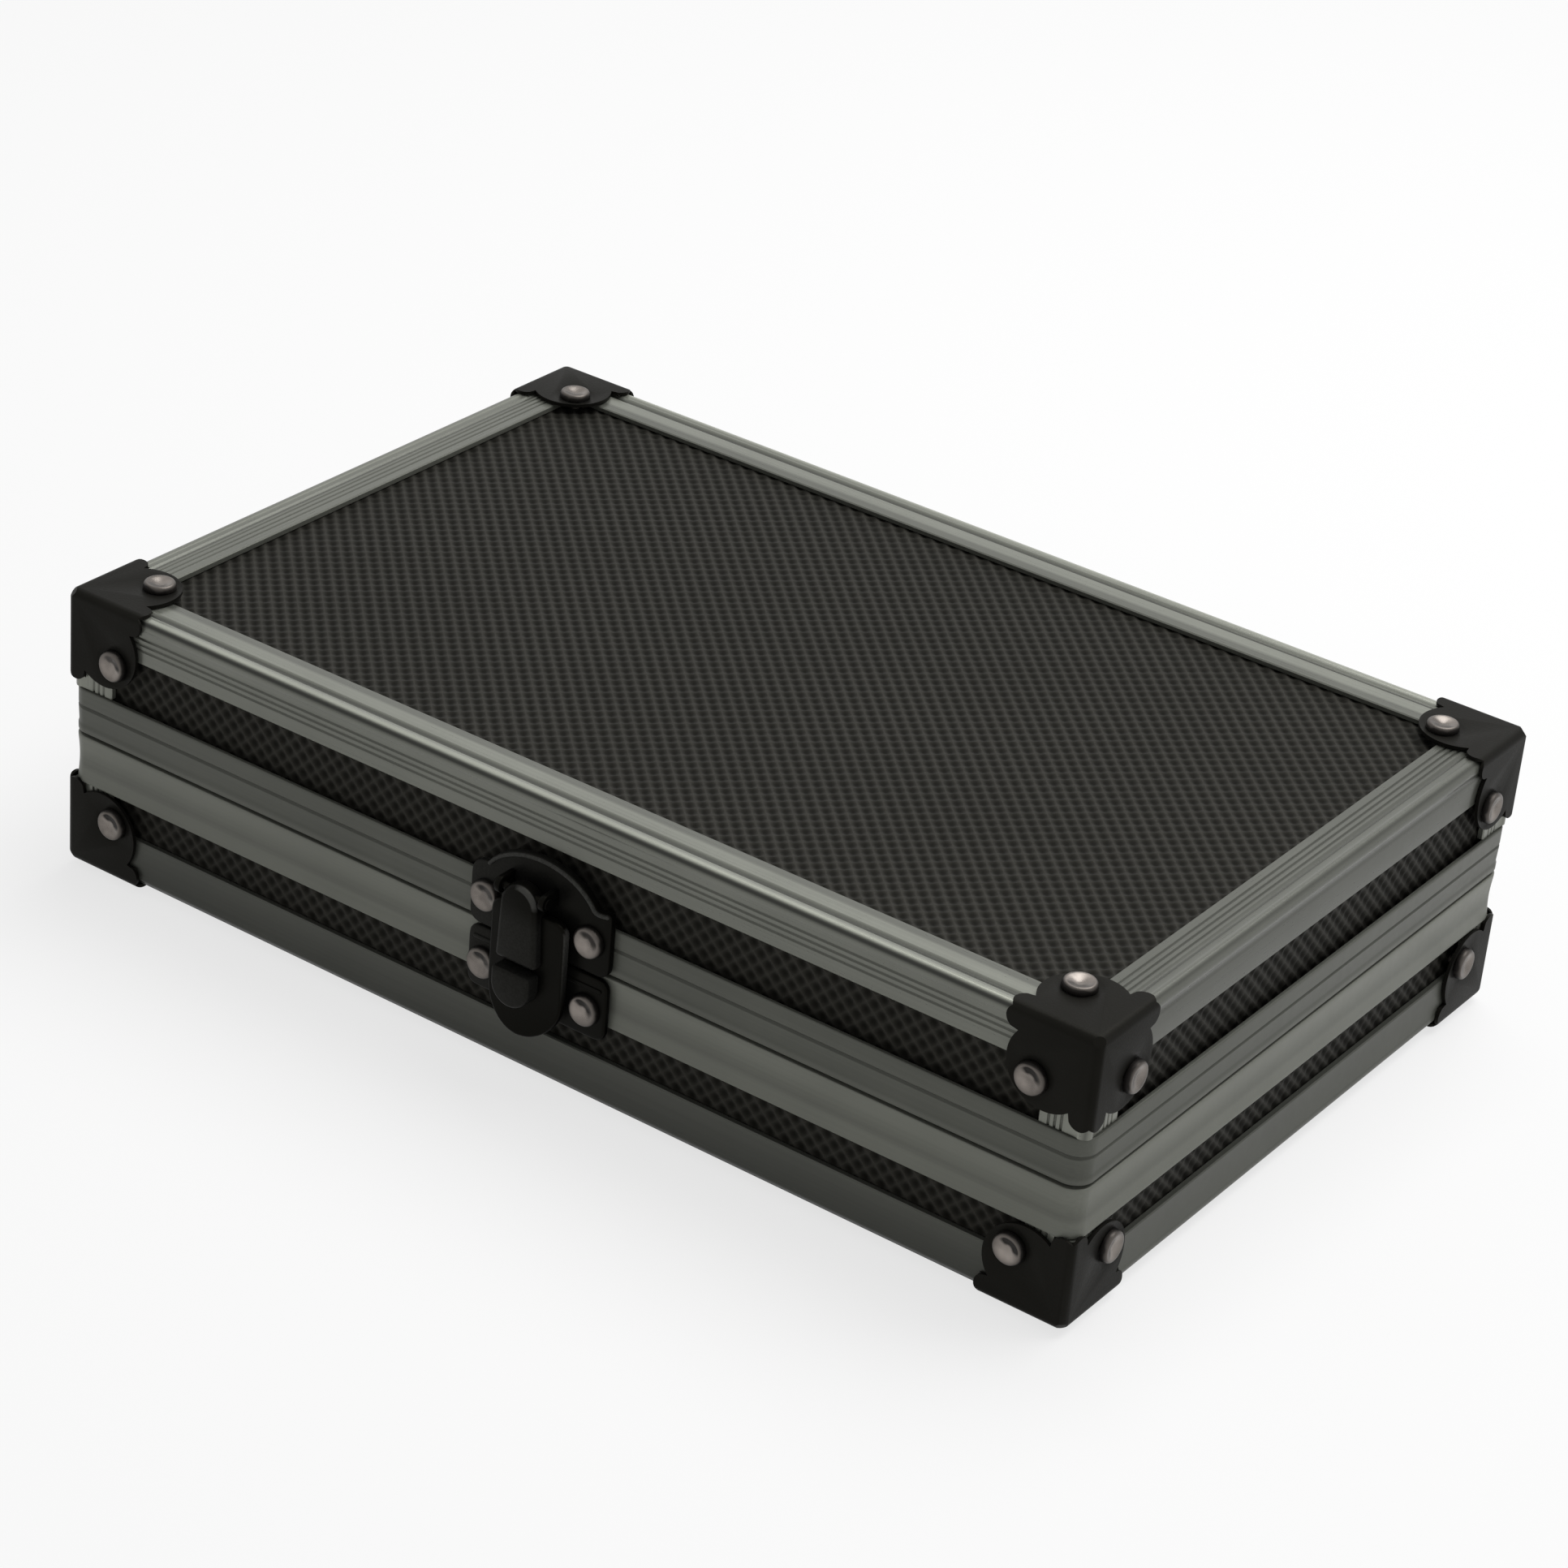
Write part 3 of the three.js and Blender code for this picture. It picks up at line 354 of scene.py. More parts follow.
def black_satin(name, light, dark, rough, gloss):
    """Black stamped steel with a satin lacquer, faintly uneven."""
    shader = Shader(name)
    peel = shader.noise(*LACQUER_PEEL)
    cloud = shader.noise(*LACQUER_CLOUD)
    colour = shader.mixed(cloud, tinted(dark, BLACK), tinted(light, BLACK))
    # The layer turns the colour towards a pale grey, patchy by the peel noise: painted highlights
    # and painted light on the latch, and a paling of its plates.
    paled = (shader.layer("lightened") * uneven(0.8, (peel, 1.2))).clamped()
    return shader.finish(
        height=peel,
        bump=0.02,
        Base_Color=shader.mixed(paled, colour, LIGHTENED_GREY),
        Specular_Tint=WARM,
        Roughness=uneven(rough, (peel, 0.16), (cloud, 0.1)),
        Specular_IOR_Level=gloss,
    )


def plated(name, light, dark, tint, rough):
    """Plated steel with fine scuffs, a cloudy film, and painted shade in a rivet's dish and round
    its rim.
    """
    shader = Shader(name)
    scuff = shader.noise(*PLATE_SCUFF)
    film = shader.noise(*PLATE_FILM)
    patch = uneven(0.5, (film, 2.4)).clamped()
    clean = shader.mixed(patch, tinted(dark, tint), tinted(light, tint))
    # Painted shade: the layer darkens each rivet's rim as a contact shadow and a crescent in its
    # dish.
    painted_shade = (shader.layer("painted_shade") * uneven(1.1, (film, 2.0))).clamped()
    return shader.finish(
        height=scuff,
        bump=0.015,
        Base_Color=shader.mixed(painted_shade, clean, tinted(dark * PAINTED_SHADE_LEVEL, tint)),
        Metallic=PLATED_METALLIC,
        Roughness=uneven(rough, (film, 0.18), (scuff, 0.1)) + painted_shade * PAINTED_SHADE_ROUGHNESS,
    )


def foam_skin(name):
    """Charcoal foam with open pores."""
    shader = Shader(name)
    cells = shader.node(
        "ShaderNodeTexVoronoi",
        {},
        Vector=shader.stretched((1, 1, 1)),
        Scale=FOAM_CELLS,
        out="Distance",
    )
    grain = shader.noise(*FOAM_GRAIN)
    tone = uneven(0.6, (cells, 0.9), (grain, 0.5)).clamped()
    colour = shader.mixed(tone, tinted(FOAM_DARK, BLACK), tinted(FOAM_LIGHT, BLACK))
    return shader.finish(
        height=cells + grain * 0.6,
        bump=0.22,
        Base_Color=colour,
        Roughness=0.95,
        Sheen_Weight=0.25,
        Sheen_Roughness=0.6,
    )


# All the aluminium is one metal; the levels below are painted light and shade: the depth rails, the
# lid band and the base rails are set darker where their faces lie in shade.
RAIL_X = aluminium("aluminium_along_length", "x", 0.275, 0.175)
RAIL_Y = aluminium("aluminium_along_depth", "y", 0.165, 0.105, 0.3, 0.22)
POST_Z = aluminium("aluminium_upright", "z", 0.24, 0.15)
LID_BAND = aluminium("aluminium_lid_band", "x", 0.13, 0.085, 0.4, 0.12)
BASE_BAND = aluminium("aluminium_base_band", "x", 0.195, 0.14, 0.4, 0.12)
BASE_RAIL_X = aluminium("aluminium_base_rail_length", "x", 0.095, 0.062, 0.4, 0.2)
BASE_RAIL_Y = aluminium("aluminium_base_rail_depth", "y", 0.13, 0.09, 0.4, 0.15)
# Two copies of the skin with different painted highlights: the front and back boards take less on
# their falling ridges.
BOARD_SKIN = embossed_skin("embossed_black_skin", 0.0245, 0.0014, 1.0)
FRONT_SKIN = embossed_skin("embossed_black_front_skin", 0.03, 0.002, 0.3)
CAP_BLACK = black_satin("cap_black_lacquer", 0.0105, 0.0065, 0.42, 0.05)
LATCH_BLACK = black_satin("latch_black_lacquer", 0.003, 0.0016, 0.36, 0.05)
NICKEL = plated("nickel_plate", 0.245, 0.11, NICKEL_TINT, 0.28)
STEEL = plated("spring_steel_plate", 0.3, 0.18, PLAIN, 0.34)
FOAM = foam_skin("charcoal_foam")


# Mesh helpers
LONG_EDGE_SHARE = 0.99


def only_verts(result):
    """The vertices in what an operator returns."""
    return [part for part in result["geom"] if isinstance(part, bmesh.types.BMVert)]


def block(low, high):
    """A box between two corners."""
    bm = bmesh.new()
    made = bmesh.ops.create_cube(bm, size=1.0)
    size = Vector(high) - Vector(low)
    middle = (Vector(high) + Vector(low)) / 2
    bmesh.ops.scale(bm, verts=made["verts"], vec=size)
    bmesh.ops.translate(bm, verts=made["verts"], vec=middle)
    return bm


def arc(centre, radius, start, end, steps):
    """Points of an arc between two angles."""
    angles = [start + (end - start) * i / steps for i in range(steps + 1)]
    return [(centre[0] + radius * math.cos(a), centre[1] + radius * math.sin(a)) for a in angles]


def bend(start, pull, end, steps=6):
    """Points of a curve from start to end that leans towards pull."""
    points = []
    for i in range(steps + 1):
        t = i / steps
        weights = ((1 - t) ** 2, 2 * t * (1 - t), t * t)
        points.append(
            tuple(sum(w * p[k] for w, p in zip(weights, (start, pull, end))) for k in (0, 1))
        )
    return points


def bar(outline, place, start, end, cuts=0):
    """Carries a closed outline from start to end; its points are (u, v) or (u, v, tone), the tone
    being painted light and shade kept in a layer.
    """
    bm = bmesh.new()
    tone = bm.verts.layers.float.new("tone")
    verts = []
    for u, v, *rest in outline:
        vert = bm.verts.new(place(u, v, start))
        vert[tone] = rest[0] if rest else 1
        verts.append(vert)
    face = bm.faces.new(verts)
    carried = bmesh.ops.extrude_face_region(bm, geom=[face])
    step = Vector(place(0, 0, end)) - Vector(place(0, 0, start))
    bmesh.ops.translate(bm, verts=only_verts(carried), vec=step)
    if cuts:
        length = step.length * LONG_EDGE_SHARE
        long_edges = [edge for edge in bm.edges if edge.calc_length() > length]
        bmesh.ops.subdivide_edges(bm, edges=long_edges, cuts=cuts, use_grid_fill=True)
    bmesh.ops.recalc_face_normals(bm, faces=bm.faces)
    return bm


def merged(*parts):
    """One bmesh that holds several."""
    whole = bmesh.new()
    for part in parts:
        mesh = bpy.data.meshes.new("part")
        part.to_mesh(mesh)
        part.free()
        whole.from_mesh(mesh)
        bpy.data.meshes.remove(mesh)
    return whole


def softened(bm, width, segments=3):
    """Rounds a piece's sharp edges."""
    edges = [e for e in bm.edges if e.is_manifold and e.calc_face_angle(0) > SOFT_ANGLE]
    bmesh.ops.bevel(
        bm,
        geom=edges,
        offset=width,
        offset_type="OFFSET",
        segments=segments,
        profile=0.5,
        affect="EDGES",
        clamp_overlap=True,
        material=-1,
    )
    return bm


def placed(name, data):
    """A new object in the scene."""
    made = bpy.data.objects.new(name, data)
    bpy.context.scene.collection.objects.link(made)
    return made


def as_object(name, bm):
    """A new object that takes over a bmesh."""
    mesh = bpy.data.meshes.new(name)
    bm.to_mesh(mesh)
    bm.free()
    return placed(name, mesh)


def combined(base, tool, operation):
    """The union, difference or intersection of two closed bmeshes."""
    first = as_object("tool", base)
    second = as_object("tool", tool)
    modifier = first.modifiers.new("combine", "BOOLEAN")
    modifier.object = second
    modifier.operation = operation
    modifier.solver = "EXACT"
    result = bmesh.new()
    result.from_object(first, bpy.context.evaluated_depsgraph_get())
    for used in (first, second):
        mesh = used.data
        bpy.data.objects.remove(used)
        bpy.data.meshes.remove(mesh)
    return result


def turned(bm, matrix):
    """A copy of a bmesh under a matrix."""
    copy = bm.copy()
    copy.transform(matrix)
    return copy


def add_piece(name, bm, material, body, replaced):
    """Finishes a bmesh as an object in metres that rides on a body."""
    bmesh.ops.remove_doubles(bm, verts=bm.verts, dist=WELD)
    bmesh.ops.recalc_face_normals(bm, faces=bm.faces)
    bm.transform(Matrix.Scale(MM, 4))
    piece = as_object(name, bm)
    piece.data.materials.append(material)
    piece.data.shade_smooth()
    piece.data.set_sharp_from_angle(angle=SMOOTH_ANGLE)
    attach(piece, body)
    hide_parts(*replaced)
    return piece


# Embossed boards
EMBOSS_DEPTH = 0.34
EMBOSS_STEP = 0.52
EMBOSS_SHARPNESS = 1.6
EMBOSS_RISING_DROP = 0.35


def ridge_level(u, v):
    """1 along the falling ridges, less along the rising ones, 0 in the middle of a pit."""
    across = math.sin(math.pi * (u + v) / (EMBOSS_PITCH * math.sqrt(2)))
    along = math.sin(math.pi * (u - v) / (EMBOSS_PITCH * math.sqrt(2)))
    rising_drop = EMBOSS_RISING_DROP + (1 - EMBOSS_RISING_DROP) * abs(along) ** EMBOSS_SHARPNESS
    return 1 - abs(across) ** EMBOSS_SHARPNESS * rising_drop


def embossed_board(width, height, sheet):
    """A board centred on the origin, its embossed face at height zero."""
    bm = bmesh.new()
    columns = round(width / EMBOSS_STEP)
    rows = round(height / EMBOSS_STEP)
    bmesh.ops.create_grid(bm, x_segments=columns, y_segments=rows, size=1.0)
    bmesh.ops.scale(bm, verts=bm.verts, vec=(width / 2, height / 2, 1))
    for vert in bm.verts:
        vert.co.z = (ridge_level(vert.co.x, vert.co.y) - 1) * EMBOSS_DEPTH
    rim = [edge for edge in bm.edges if edge.is_boundary]
    walls = bmesh.ops.extrude_edge_only(bm, edges=rim)
    for vert in only_verts(walls):
        vert.co.z = -sheet
    bmesh.ops.holes_fill(bm, edges=[edge for edge in bm.edges if edge.is_boundary])
    place = bm.loops.layers.uv.new("board")
    for face in bm.faces:
        for loop in face.loops:
            loop[place].uv = loop.vert.co.xy
    return bm


def facing(along, across, outward, place):
    """A matrix that turns X, Y and Z onto three directions at a place."""
    columns = (Vector(along), Vector(across), Vector(outward))
    matrix = Matrix.Identity(4)
    for index, column in enumerate(columns):
        for row in range(3):
            matrix[row][index] = column[row]
    matrix.translation = place
    return matrix


def make_boards(half):
    """The half's large panel and its four side boards."""
    panel_node = "top_panel" if half is LID else "bottom_panel"
    low, high = half.box(panel_node)
    size = high - low
    outer = high.z if half is LID else low.z
    panel = embossed_board(size.x, size.y, size.z)
    panel.transform(facing((1, 0, 0), (0, half.up, 0), (0, 0, half.up), (0, MIDDLE_Y, outer)))
    half.add("embossed_panel", panel, BOARD_SKIN, "embossed_board", panel_node)
    sides = {
        "front": ((1, 0, 0), (0, -1, 0)),
        "back": ((-1, 0, 0), (0, 1, 0)),
        "left": ((0, -1, 0), (-1, 0, 0)),
        "right": ((0, 1, 0), (1, 0, 0)),
    }
    for side, (along, outward) in sides.items():
        low, high = half.box(f"{side}_board")
        size = high - low
        long_side = side in ("front", "back")
        width, sheet = (size.x, size.y) if long_side else (size.y, size.x)
        place = (low + high) / 2 + Vector(outward) * sheet / 2
        board = embossed_board(width, size.z, sheet)
        board.transform(facing(along, (0, 0, 1), outward, place))
        # The front and back boards take the copy with the weaker painted highlight.
        skin = FRONT_SKIN if long_side else BOARD_SKIN
        half.add(f"{side}_embossed_board", board, skin, "embossed_board", f"{side}_board")


# Rails and posts
GROOVE_WIDTH = 0.5
GROOVE_DEPTH = 0.28
GROOVE_PAINTED_SHADE = 0.62
FINE_GROOVE_PLACE = 3.25
FINE_GROOVE_PITCH = 1.08
END_GROOVE_SHIFT = 1.25
END_GROOVE_PAINTED_SHADE = 0.75
# Grooves as place, width, depth and the painted shade at their middle.
WIDE_GROOVE = [(3.0, 1.6, 0.36, 0.26)]
END_WIDE_GROOVE = [(3.25, 1.2, 0.3, 0.7)]
END_SIDE_GROOVE = [(2.5, 1.6, 0.2, 0.88)]
# The rail's sloping inner lip carries painted shade.
LIP_WIDTH = 2.4
LIP_DROP = 0.12
LIP_BREAK = (0.7, 1 / 3)
LIP_PAINTED_SHADE = 0.58
EDGE_ROUND = 0.2
CORNER_OPENING = 8.6
RAIL_CUTS = 15
BEAD_STEPS = 30
# Painted highlight and painted shade round the bead, by angle in degrees; the side legs get painted
# shade as a whole.
LONG_BEAD_PAINTED_LIGHT = (
    (-40, 0.8), (-24, 1.0), (-6, 1.3), (13, 1.75), (28, 1.3), (38, 0.45),
    (46, 0.14), (62, 0.12), (74, 0.45), (84, 0.72),
)
LONG_SIDE_PAINTED_SHADE = 0.7
END_SIDE_PAINTED_SHADE = 0.84
RIGHT_PAINTED_SHADE = 0.88
LEFT_PAINTED_LIGHT = 1.12
END_BEAD_PAINTED_LIGHT = ((-40, 1.0), (-18, 1.3), (5, 1.1), (37, 0.55), (60, 1.0), (90, 1.0))
BEAD_NOTCH = 0.16


def groove(place, width, depth, tone=GROOVE_PAINTED_SHADE, steps=6):
    """Points across a round groove, as (place, depth, tone), its painted shade deepest at the
    middle.
    """
    points = []
    for i in range(steps + 1):
        bow = math.sin(math.pi * i / steps)
        points.append((place + width * (i / steps - 0.5), depth * bow, 1 + (tone - 1) * bow))
    return points


def fine_grooves(first, tone=GROOVE_PAINTED_SHADE):
    """Three grooves side by side, each as what groove() takes."""
    return [(first + i * FINE_GROOVE_PITCH, GROOVE_WIDTH, GROOVE_DEPTH, tone) for i in range(3)]


def tone_at(tones, place):
    """The tone at a place in a line of (place, tone), from the two beside it."""
    for (low, first), (high, second) in zip(tones, tones[1:]):
        if place < high:
            share = max(0, (place - low) / (high - low))
            return first + (second - first) * share
    return tones[-1][1]


def bead(tones):
    """The corner's round bead, from the top leg to the side leg."""
    middle = BEAD_RADIUS - BEAD_PROUD
    reach = math.acos(middle / BEAD_RADIUS)
    points = []
    for i in range(BEAD_STEPS + 1):
        turn = -reach + (QUARTER + 2 * reach) * i / BEAD_STEPS
        tone = tone_at(tones, math.degrees(turn))
        radius = BEAD_RADIUS - BEAD_NOTCH * max(0, 1 - tone)
        u = middle - radius * math.sin(turn)
        points.append((u, middle - radius * math.cos(turn), tone))
    return points


def rail_outline(top_grooves, side_grooves, tones, side_leg, side_painted_shade=1.0, lip_drop=LIP_DROP):
    """The L profile as distances in and down from the rail's two outer planes, each point with its
    painted light and shade.
    """
    top_leg = RAIL_TOP_LEG
    lip_painted_shade = LIP_PAINTED_SHADE if lip_drop else 1.0
    outline = [(top_leg, RAIL_SHEET, lip_painted_shade), (top_leg, lip_drop + EDGE_ROUND, lip_painted_shade)]
    outline += [(top_leg - EDGE_ROUND, lip_drop, lip_painted_shade)]
    if lip_drop:
        along, down = LIP_BREAK
        outline += [(top_leg - LIP_WIDTH * along, lip_drop * down, lip_painted_shade)]
        outline += [(top_leg - LIP_WIDTH, 0, 1)]
    for one in reversed(top_grooves):
        outline += reversed(groove(*one))
    outline += bead(tones)
    for one in side_grooves:
        outline += [(v, u, tone * side_painted_shade) for u, v, tone in groove(*one)]
    outline += [(0, side_leg - EDGE_ROUND, side_painted_shade), (EDGE_ROUND, side_leg, side_painted_shade)]
    outline += [(RAIL_SHEET, side_leg), (RAIL_SHEET, RAIL_SHEET)]
    return outline


def toned(outline, share):
    """An outline with all its tones scaled by one share of painted light."""
    return [(u, v, (rest[0] if rest else 1) * share) for u, v, *rest in outline]


def make_rails(half):
    """The half's four edge rails, between its corner caps."""
    ribs = fine_grooves(FINE_GROOVE_PLACE) if half is LID else []
    side_painted_shade = LONG_SIDE_PAINTED_SHADE if half is LID else 1.0
    long_outline = rail_outline(WIDE_GROOVE, ribs, LONG_BEAD_PAINTED_LIGHT, RAIL_SIDE_LEG, side_painted_shade)
    end_outline = rail_outline(
        END_WIDE_GROOVE + fine_grooves(FINE_GROOVE_PLACE + END_GROOVE_SHIFT, END_GROOVE_PAINTED_SHADE),
        END_SIDE_GROOVE if half is LID else [],
        END_BEAD_PAINTED_LIGHT,
        RAIL_SIDE_LEG,
        END_SIDE_PAINTED_SHADE,
        lip_drop=0,
    )
    # The left end rails get painted light and the right ones painted shade.
    left_outline = toned(end_outline, LEFT_PAINTED_LIGHT)
    right_outline = toned(end_outline, RIGHT_PAINTED_SHADE)
    metal_x = RAIL_X if half is LID else BASE_RAIL_X
    metal_y = RAIL_Y if half is LID else BASE_RAIL_Y
    reach_x = FRAME_X - CORNER_OPENING
    reach_y = FRAME_Y - CORNER_OPENING
    rails = {
        "front": (long_outline, lambda u, v, t: (t, u - FRAME_Y, -v), reach_x, metal_x),
        "back": (long_outline, lambda u, v, t: (t, FRAME_Y - u, -v), reach_x, metal_x),
        "left": (left_outline, lambda u, v, t: (u - FRAME_X, t, -v), reach_y, metal_y),
        "right": (right_outline, lambda u, v, t: (FRAME_X - u, t, -v), reach_y, metal_y),
    }
    for side, (outline, place, reach, metal) in rails.items():
        rail = bar(outline, place, -reach, reach, RAIL_CUTS)
        rail.transform(half.matrix)
        half.add(f"{side}_edge_profile", rail, metal, "aluminium_profile", f"rail_{side}")


def make_posts(half):
    """The half's four upright corner posts, between its caps and its band."""
    grooves = fine_grooves(FINE_GROOVE_PLACE + END_GROOVE_SHIFT)
    outline = rail_outline(grooves, grooves, END_BEAD_PAINTED_LIGHT, RAIL_TOP_LEG, lip_drop=0)
    foot = -(half.depth - half.band_height - BOARD_GAP)
    for corner, (x, y) in CORNERS.items():
        post = bar(
            outline,
            lambda u, v, t: (x * (FRAME_X - u), y * (FRAME_Y - v), t),
            foot,
            -CORNER_OPENING,
        )
        post.transform(half.matrix)
        half.add(f"{corner}_corner_post", post, POST_Z, "aluminium_profile", f"post_{corner}")


# Closing bands
BAND_CORNER_STEPS = 8
BAND_EDGE_ROUND = 0.3
BAND_EDGE_STEPS = 4
BAND_WEB = 1.0
BAND_LIP = 1.0
BAND_LIP_HEIGHT = 2.0
BAND_GROOVE_SHARE = 0.5926
BAND_GROOVE_WIDTH = 0.7
BAND_GROOVE_PAINTED_SHADE = 0.74
BAND_HOLLOW = 0.25
BAND_HOLLOW_STEPS = 16
LID_BAND_CREASE = ((0.12, 1.3), (0.12, 0.9), (0.0, 0.6))
TONGUE_INSET = 2.4
TONGUE_HALF_WIDTH = 0.4
TONGUE_RISE = 0.7
GROOVE_RISE = 0.575
GROOVE_CLEARANCE = 0.35
# Painted light and shade on the bands' faces, by share of their height.
LID_BAND_PAINTED_LIGHT = ((0.0, 0.85), (0.08, 1.15), (0.16, 0.9), (0.5, 1.0), (1.0, 1.0))
BASE_BAND_PAINTED_LIGHT = ((0.0, 1.1), (0.25, 1.08), (0.55, 0.85), (0.62, 0.82), (0.72, 1.0), (1.0, 1.0))


def band_face(half):
    """The band's outer face from its free edge to the seam, as (inset, height)."""
    low, high = BAND_EDGE_ROUND * 2, half.band_height - BAND_EDGE_ROUND * 2
    if half is BASE:
        shares = [i / BAND_HOLLOW_STEPS for i in range(BAND_HOLLOW_STEPS + 1)]
        return [(BAND_HOLLOW * math.sin(math.pi * s), high + (low - high) * s) for s in shares]
    place = half.band_height * BAND_GROOVE_SHARE
    cut = [(v, u) for u, v, _ in reversed(groove(place, BAND_GROOVE_WIDTH, GROOVE_DEPTH))]
    crease = [(inset, low + rise) for inset, rise in LID_BAND_CREASE]
    return [(0.0, high), *cut, *crease, (0.0, low)]


def band_outline(half):
    """The channel as (inset, height, tone), with the seam at height zero; the tones are painted
    light and shade by height, with painted shade in the lid band's groove.
    """
    channel = HALF_X - BOARD_X + BOARD_SHEET + BOARD_GAP + BAND_LIP
    edge = BAND_EDGE_ROUND
    height = half.band_height
    outline = arc((edge, edge), edge, math.pi, 3 * QUARTER, BAND_EDGE_STEPS)
    if half is LID:
        wall = TONGUE_HALF_WIDTH + GROOVE_CLEARANCE
        rise = GROOVE_RISE
    else:
        wall = TONGUE_HALF_WIDTH
        rise = -TONGUE_RISE
    outline += [(TONGUE_INSET - wall, 0), (TONGUE_INSET - wall, rise)]
    outline += [(TONGUE_INSET + wall, rise), (TONGUE_INSET + wall, 0)]
    outline += [(channel, 0), (channel, BAND_WEB + BAND_LIP_HEIGHT)]
    outline += [(channel - BAND_LIP, BAND_WEB + BAND_LIP_HEIGHT), (channel - BAND_LIP, BAND_WEB)]
    outline += [(BAND_SHEET, BAND_WEB), (BAND_SHEET, height)]
    outline += arc((edge, height - edge), edge, QUARTER, math.pi, BAND_EDGE_STEPS)
    outline += band_face(half)
    tones = LID_BAND_PAINTED_LIGHT if half is LID else BASE_BAND_PAINTED_LIGHT
    groove_height = height * BAND_GROOVE_SHARE
    points = []
    for inset, level in outline:
        tone = tone_at(tones, level / height)
        if half is LID and inset < BAND_SHEET / 2 and abs(level - groove_height) < GROOVE_WIDTH / 2:
            tone *= BAND_GROOVE_PAINTED_SHADE
        points.append((inset, level, tone))
    return points


def rounded_loop(bm, inset, height, tone):
    """The points, in turn, of a rounded rectangle round the case at an inset and a height."""
    radius = BAND_RADIUS - inset if inset <= BAND_SHEET else BAND_EDGE_ROUND
    made = bmesh.ops.create_circle(bm, segments=4 * BAND_CORNER_STEPS, radius=radius)
    bmesh.ops.rotate(
        bm,
        verts=made["verts"],
        cent=(0, 0, 0),
        matrix=Matrix.Rotation(QUARTER / (2 * BAND_CORNER_STEPS), 3, "Z"),
    )
    for vert in made["verts"]:
        vert.co.x += math.copysign(HALF_X - inset - radius, vert.co.x)
        vert.co.y += math.copysign(HALF_Y - inset - radius, vert.co.y)
        vert.co.z = height
        vert[bm.verts.layers.float["tone"]] = tone
    return made["verts"]


def make_band(half):
    """The half's closing band, all the way round the case."""
    bm = bmesh.new()
    bm.verts.layers.float.new("tone")
    loops = [rounded_loop(bm, *point) for point in band_outline(half)]
    for first, second in zip(loops, loops[1:] + loops[:1]):
        for i, vert in enumerate(first):
            after = (i + 1) % len(first)
            bm.faces.new((vert, first[after], second[after], second[i]))
    seam = SEAM_TOP if half is LID else SEAM_BOTTOM
    lift = Matrix.Translation((0, MIDDLE_Y, seam))
    bm.transform(lift @ Matrix.Diagonal((1, 1, half.up, 1)))
    metal = LID_BAND if half is LID else BASE_BAND
    half.add("rim_band", bm, metal, "aluminium_profile", "closing_band")


# Corner caps
CAP_LOBE = 4.0
CAP_TIP = 14.1
CAP_TIP_ANGLE = math.pi / 3
CAP_EYE = 8.3
CAP_EYE_RADIUS = 7.0
CAP_EDGE_RADIUS = 1.45
CAP_SOFT_EDGE = 0.26
CAP_SOFT_ANGLE = math.radians(40)
CAP_BALL_INSET = 11.0
CAP_BALL_RADIUS = 17.7
CAP_BLOCK = 40.0
CAP_OVERRUN = 1.0
RIVET_INSET = 10.6
DIMPLE_RADIUS = 3.9
DIMPLE_DEPTH = 0.42


def cap_outline():
    """One face's lobed outline, in distances along the two edges from the corner."""
    notch = CAP_EYE + math.sqrt(CAP_EYE_RADIUS**2 - (CAP_EYE - CAP_LOBE) ** 2)
    start = math.atan2(CAP_LOBE - CAP_EYE, notch - CAP_EYE)
    half_lobe = CAP_LOBE / 2
    outline = [(-CAP_OVERRUN, -CAP_OVERRUN), (CAP_TIP, -CAP_OVERRUN)]
    outline += arc((CAP_TIP, half_lobe), half_lobe, -QUARTER, CAP_TIP_ANGLE, steps=12)
    outline += arc((CAP_EYE, CAP_EYE), CAP_EYE_RADIUS, start, QUARTER - start, steps=24)
    outline += arc((half_lobe, CAP_TIP), half_lobe, QUARTER - CAP_TIP_ANGLE, math.pi, steps=12)
    outline += [(-CAP_OVERRUN, CAP_TIP)]
    return outline


def ball(centre, radius, segments=64):
    """A sphere at a place."""
    bm = bmesh.new()
    bmesh.ops.create_uvsphere(bm, u_segments=segments, v_segments=segments // 2, radius=radius)
    bmesh.ops.translate(bm, verts=bm.verts, vec=centre)
    return bm


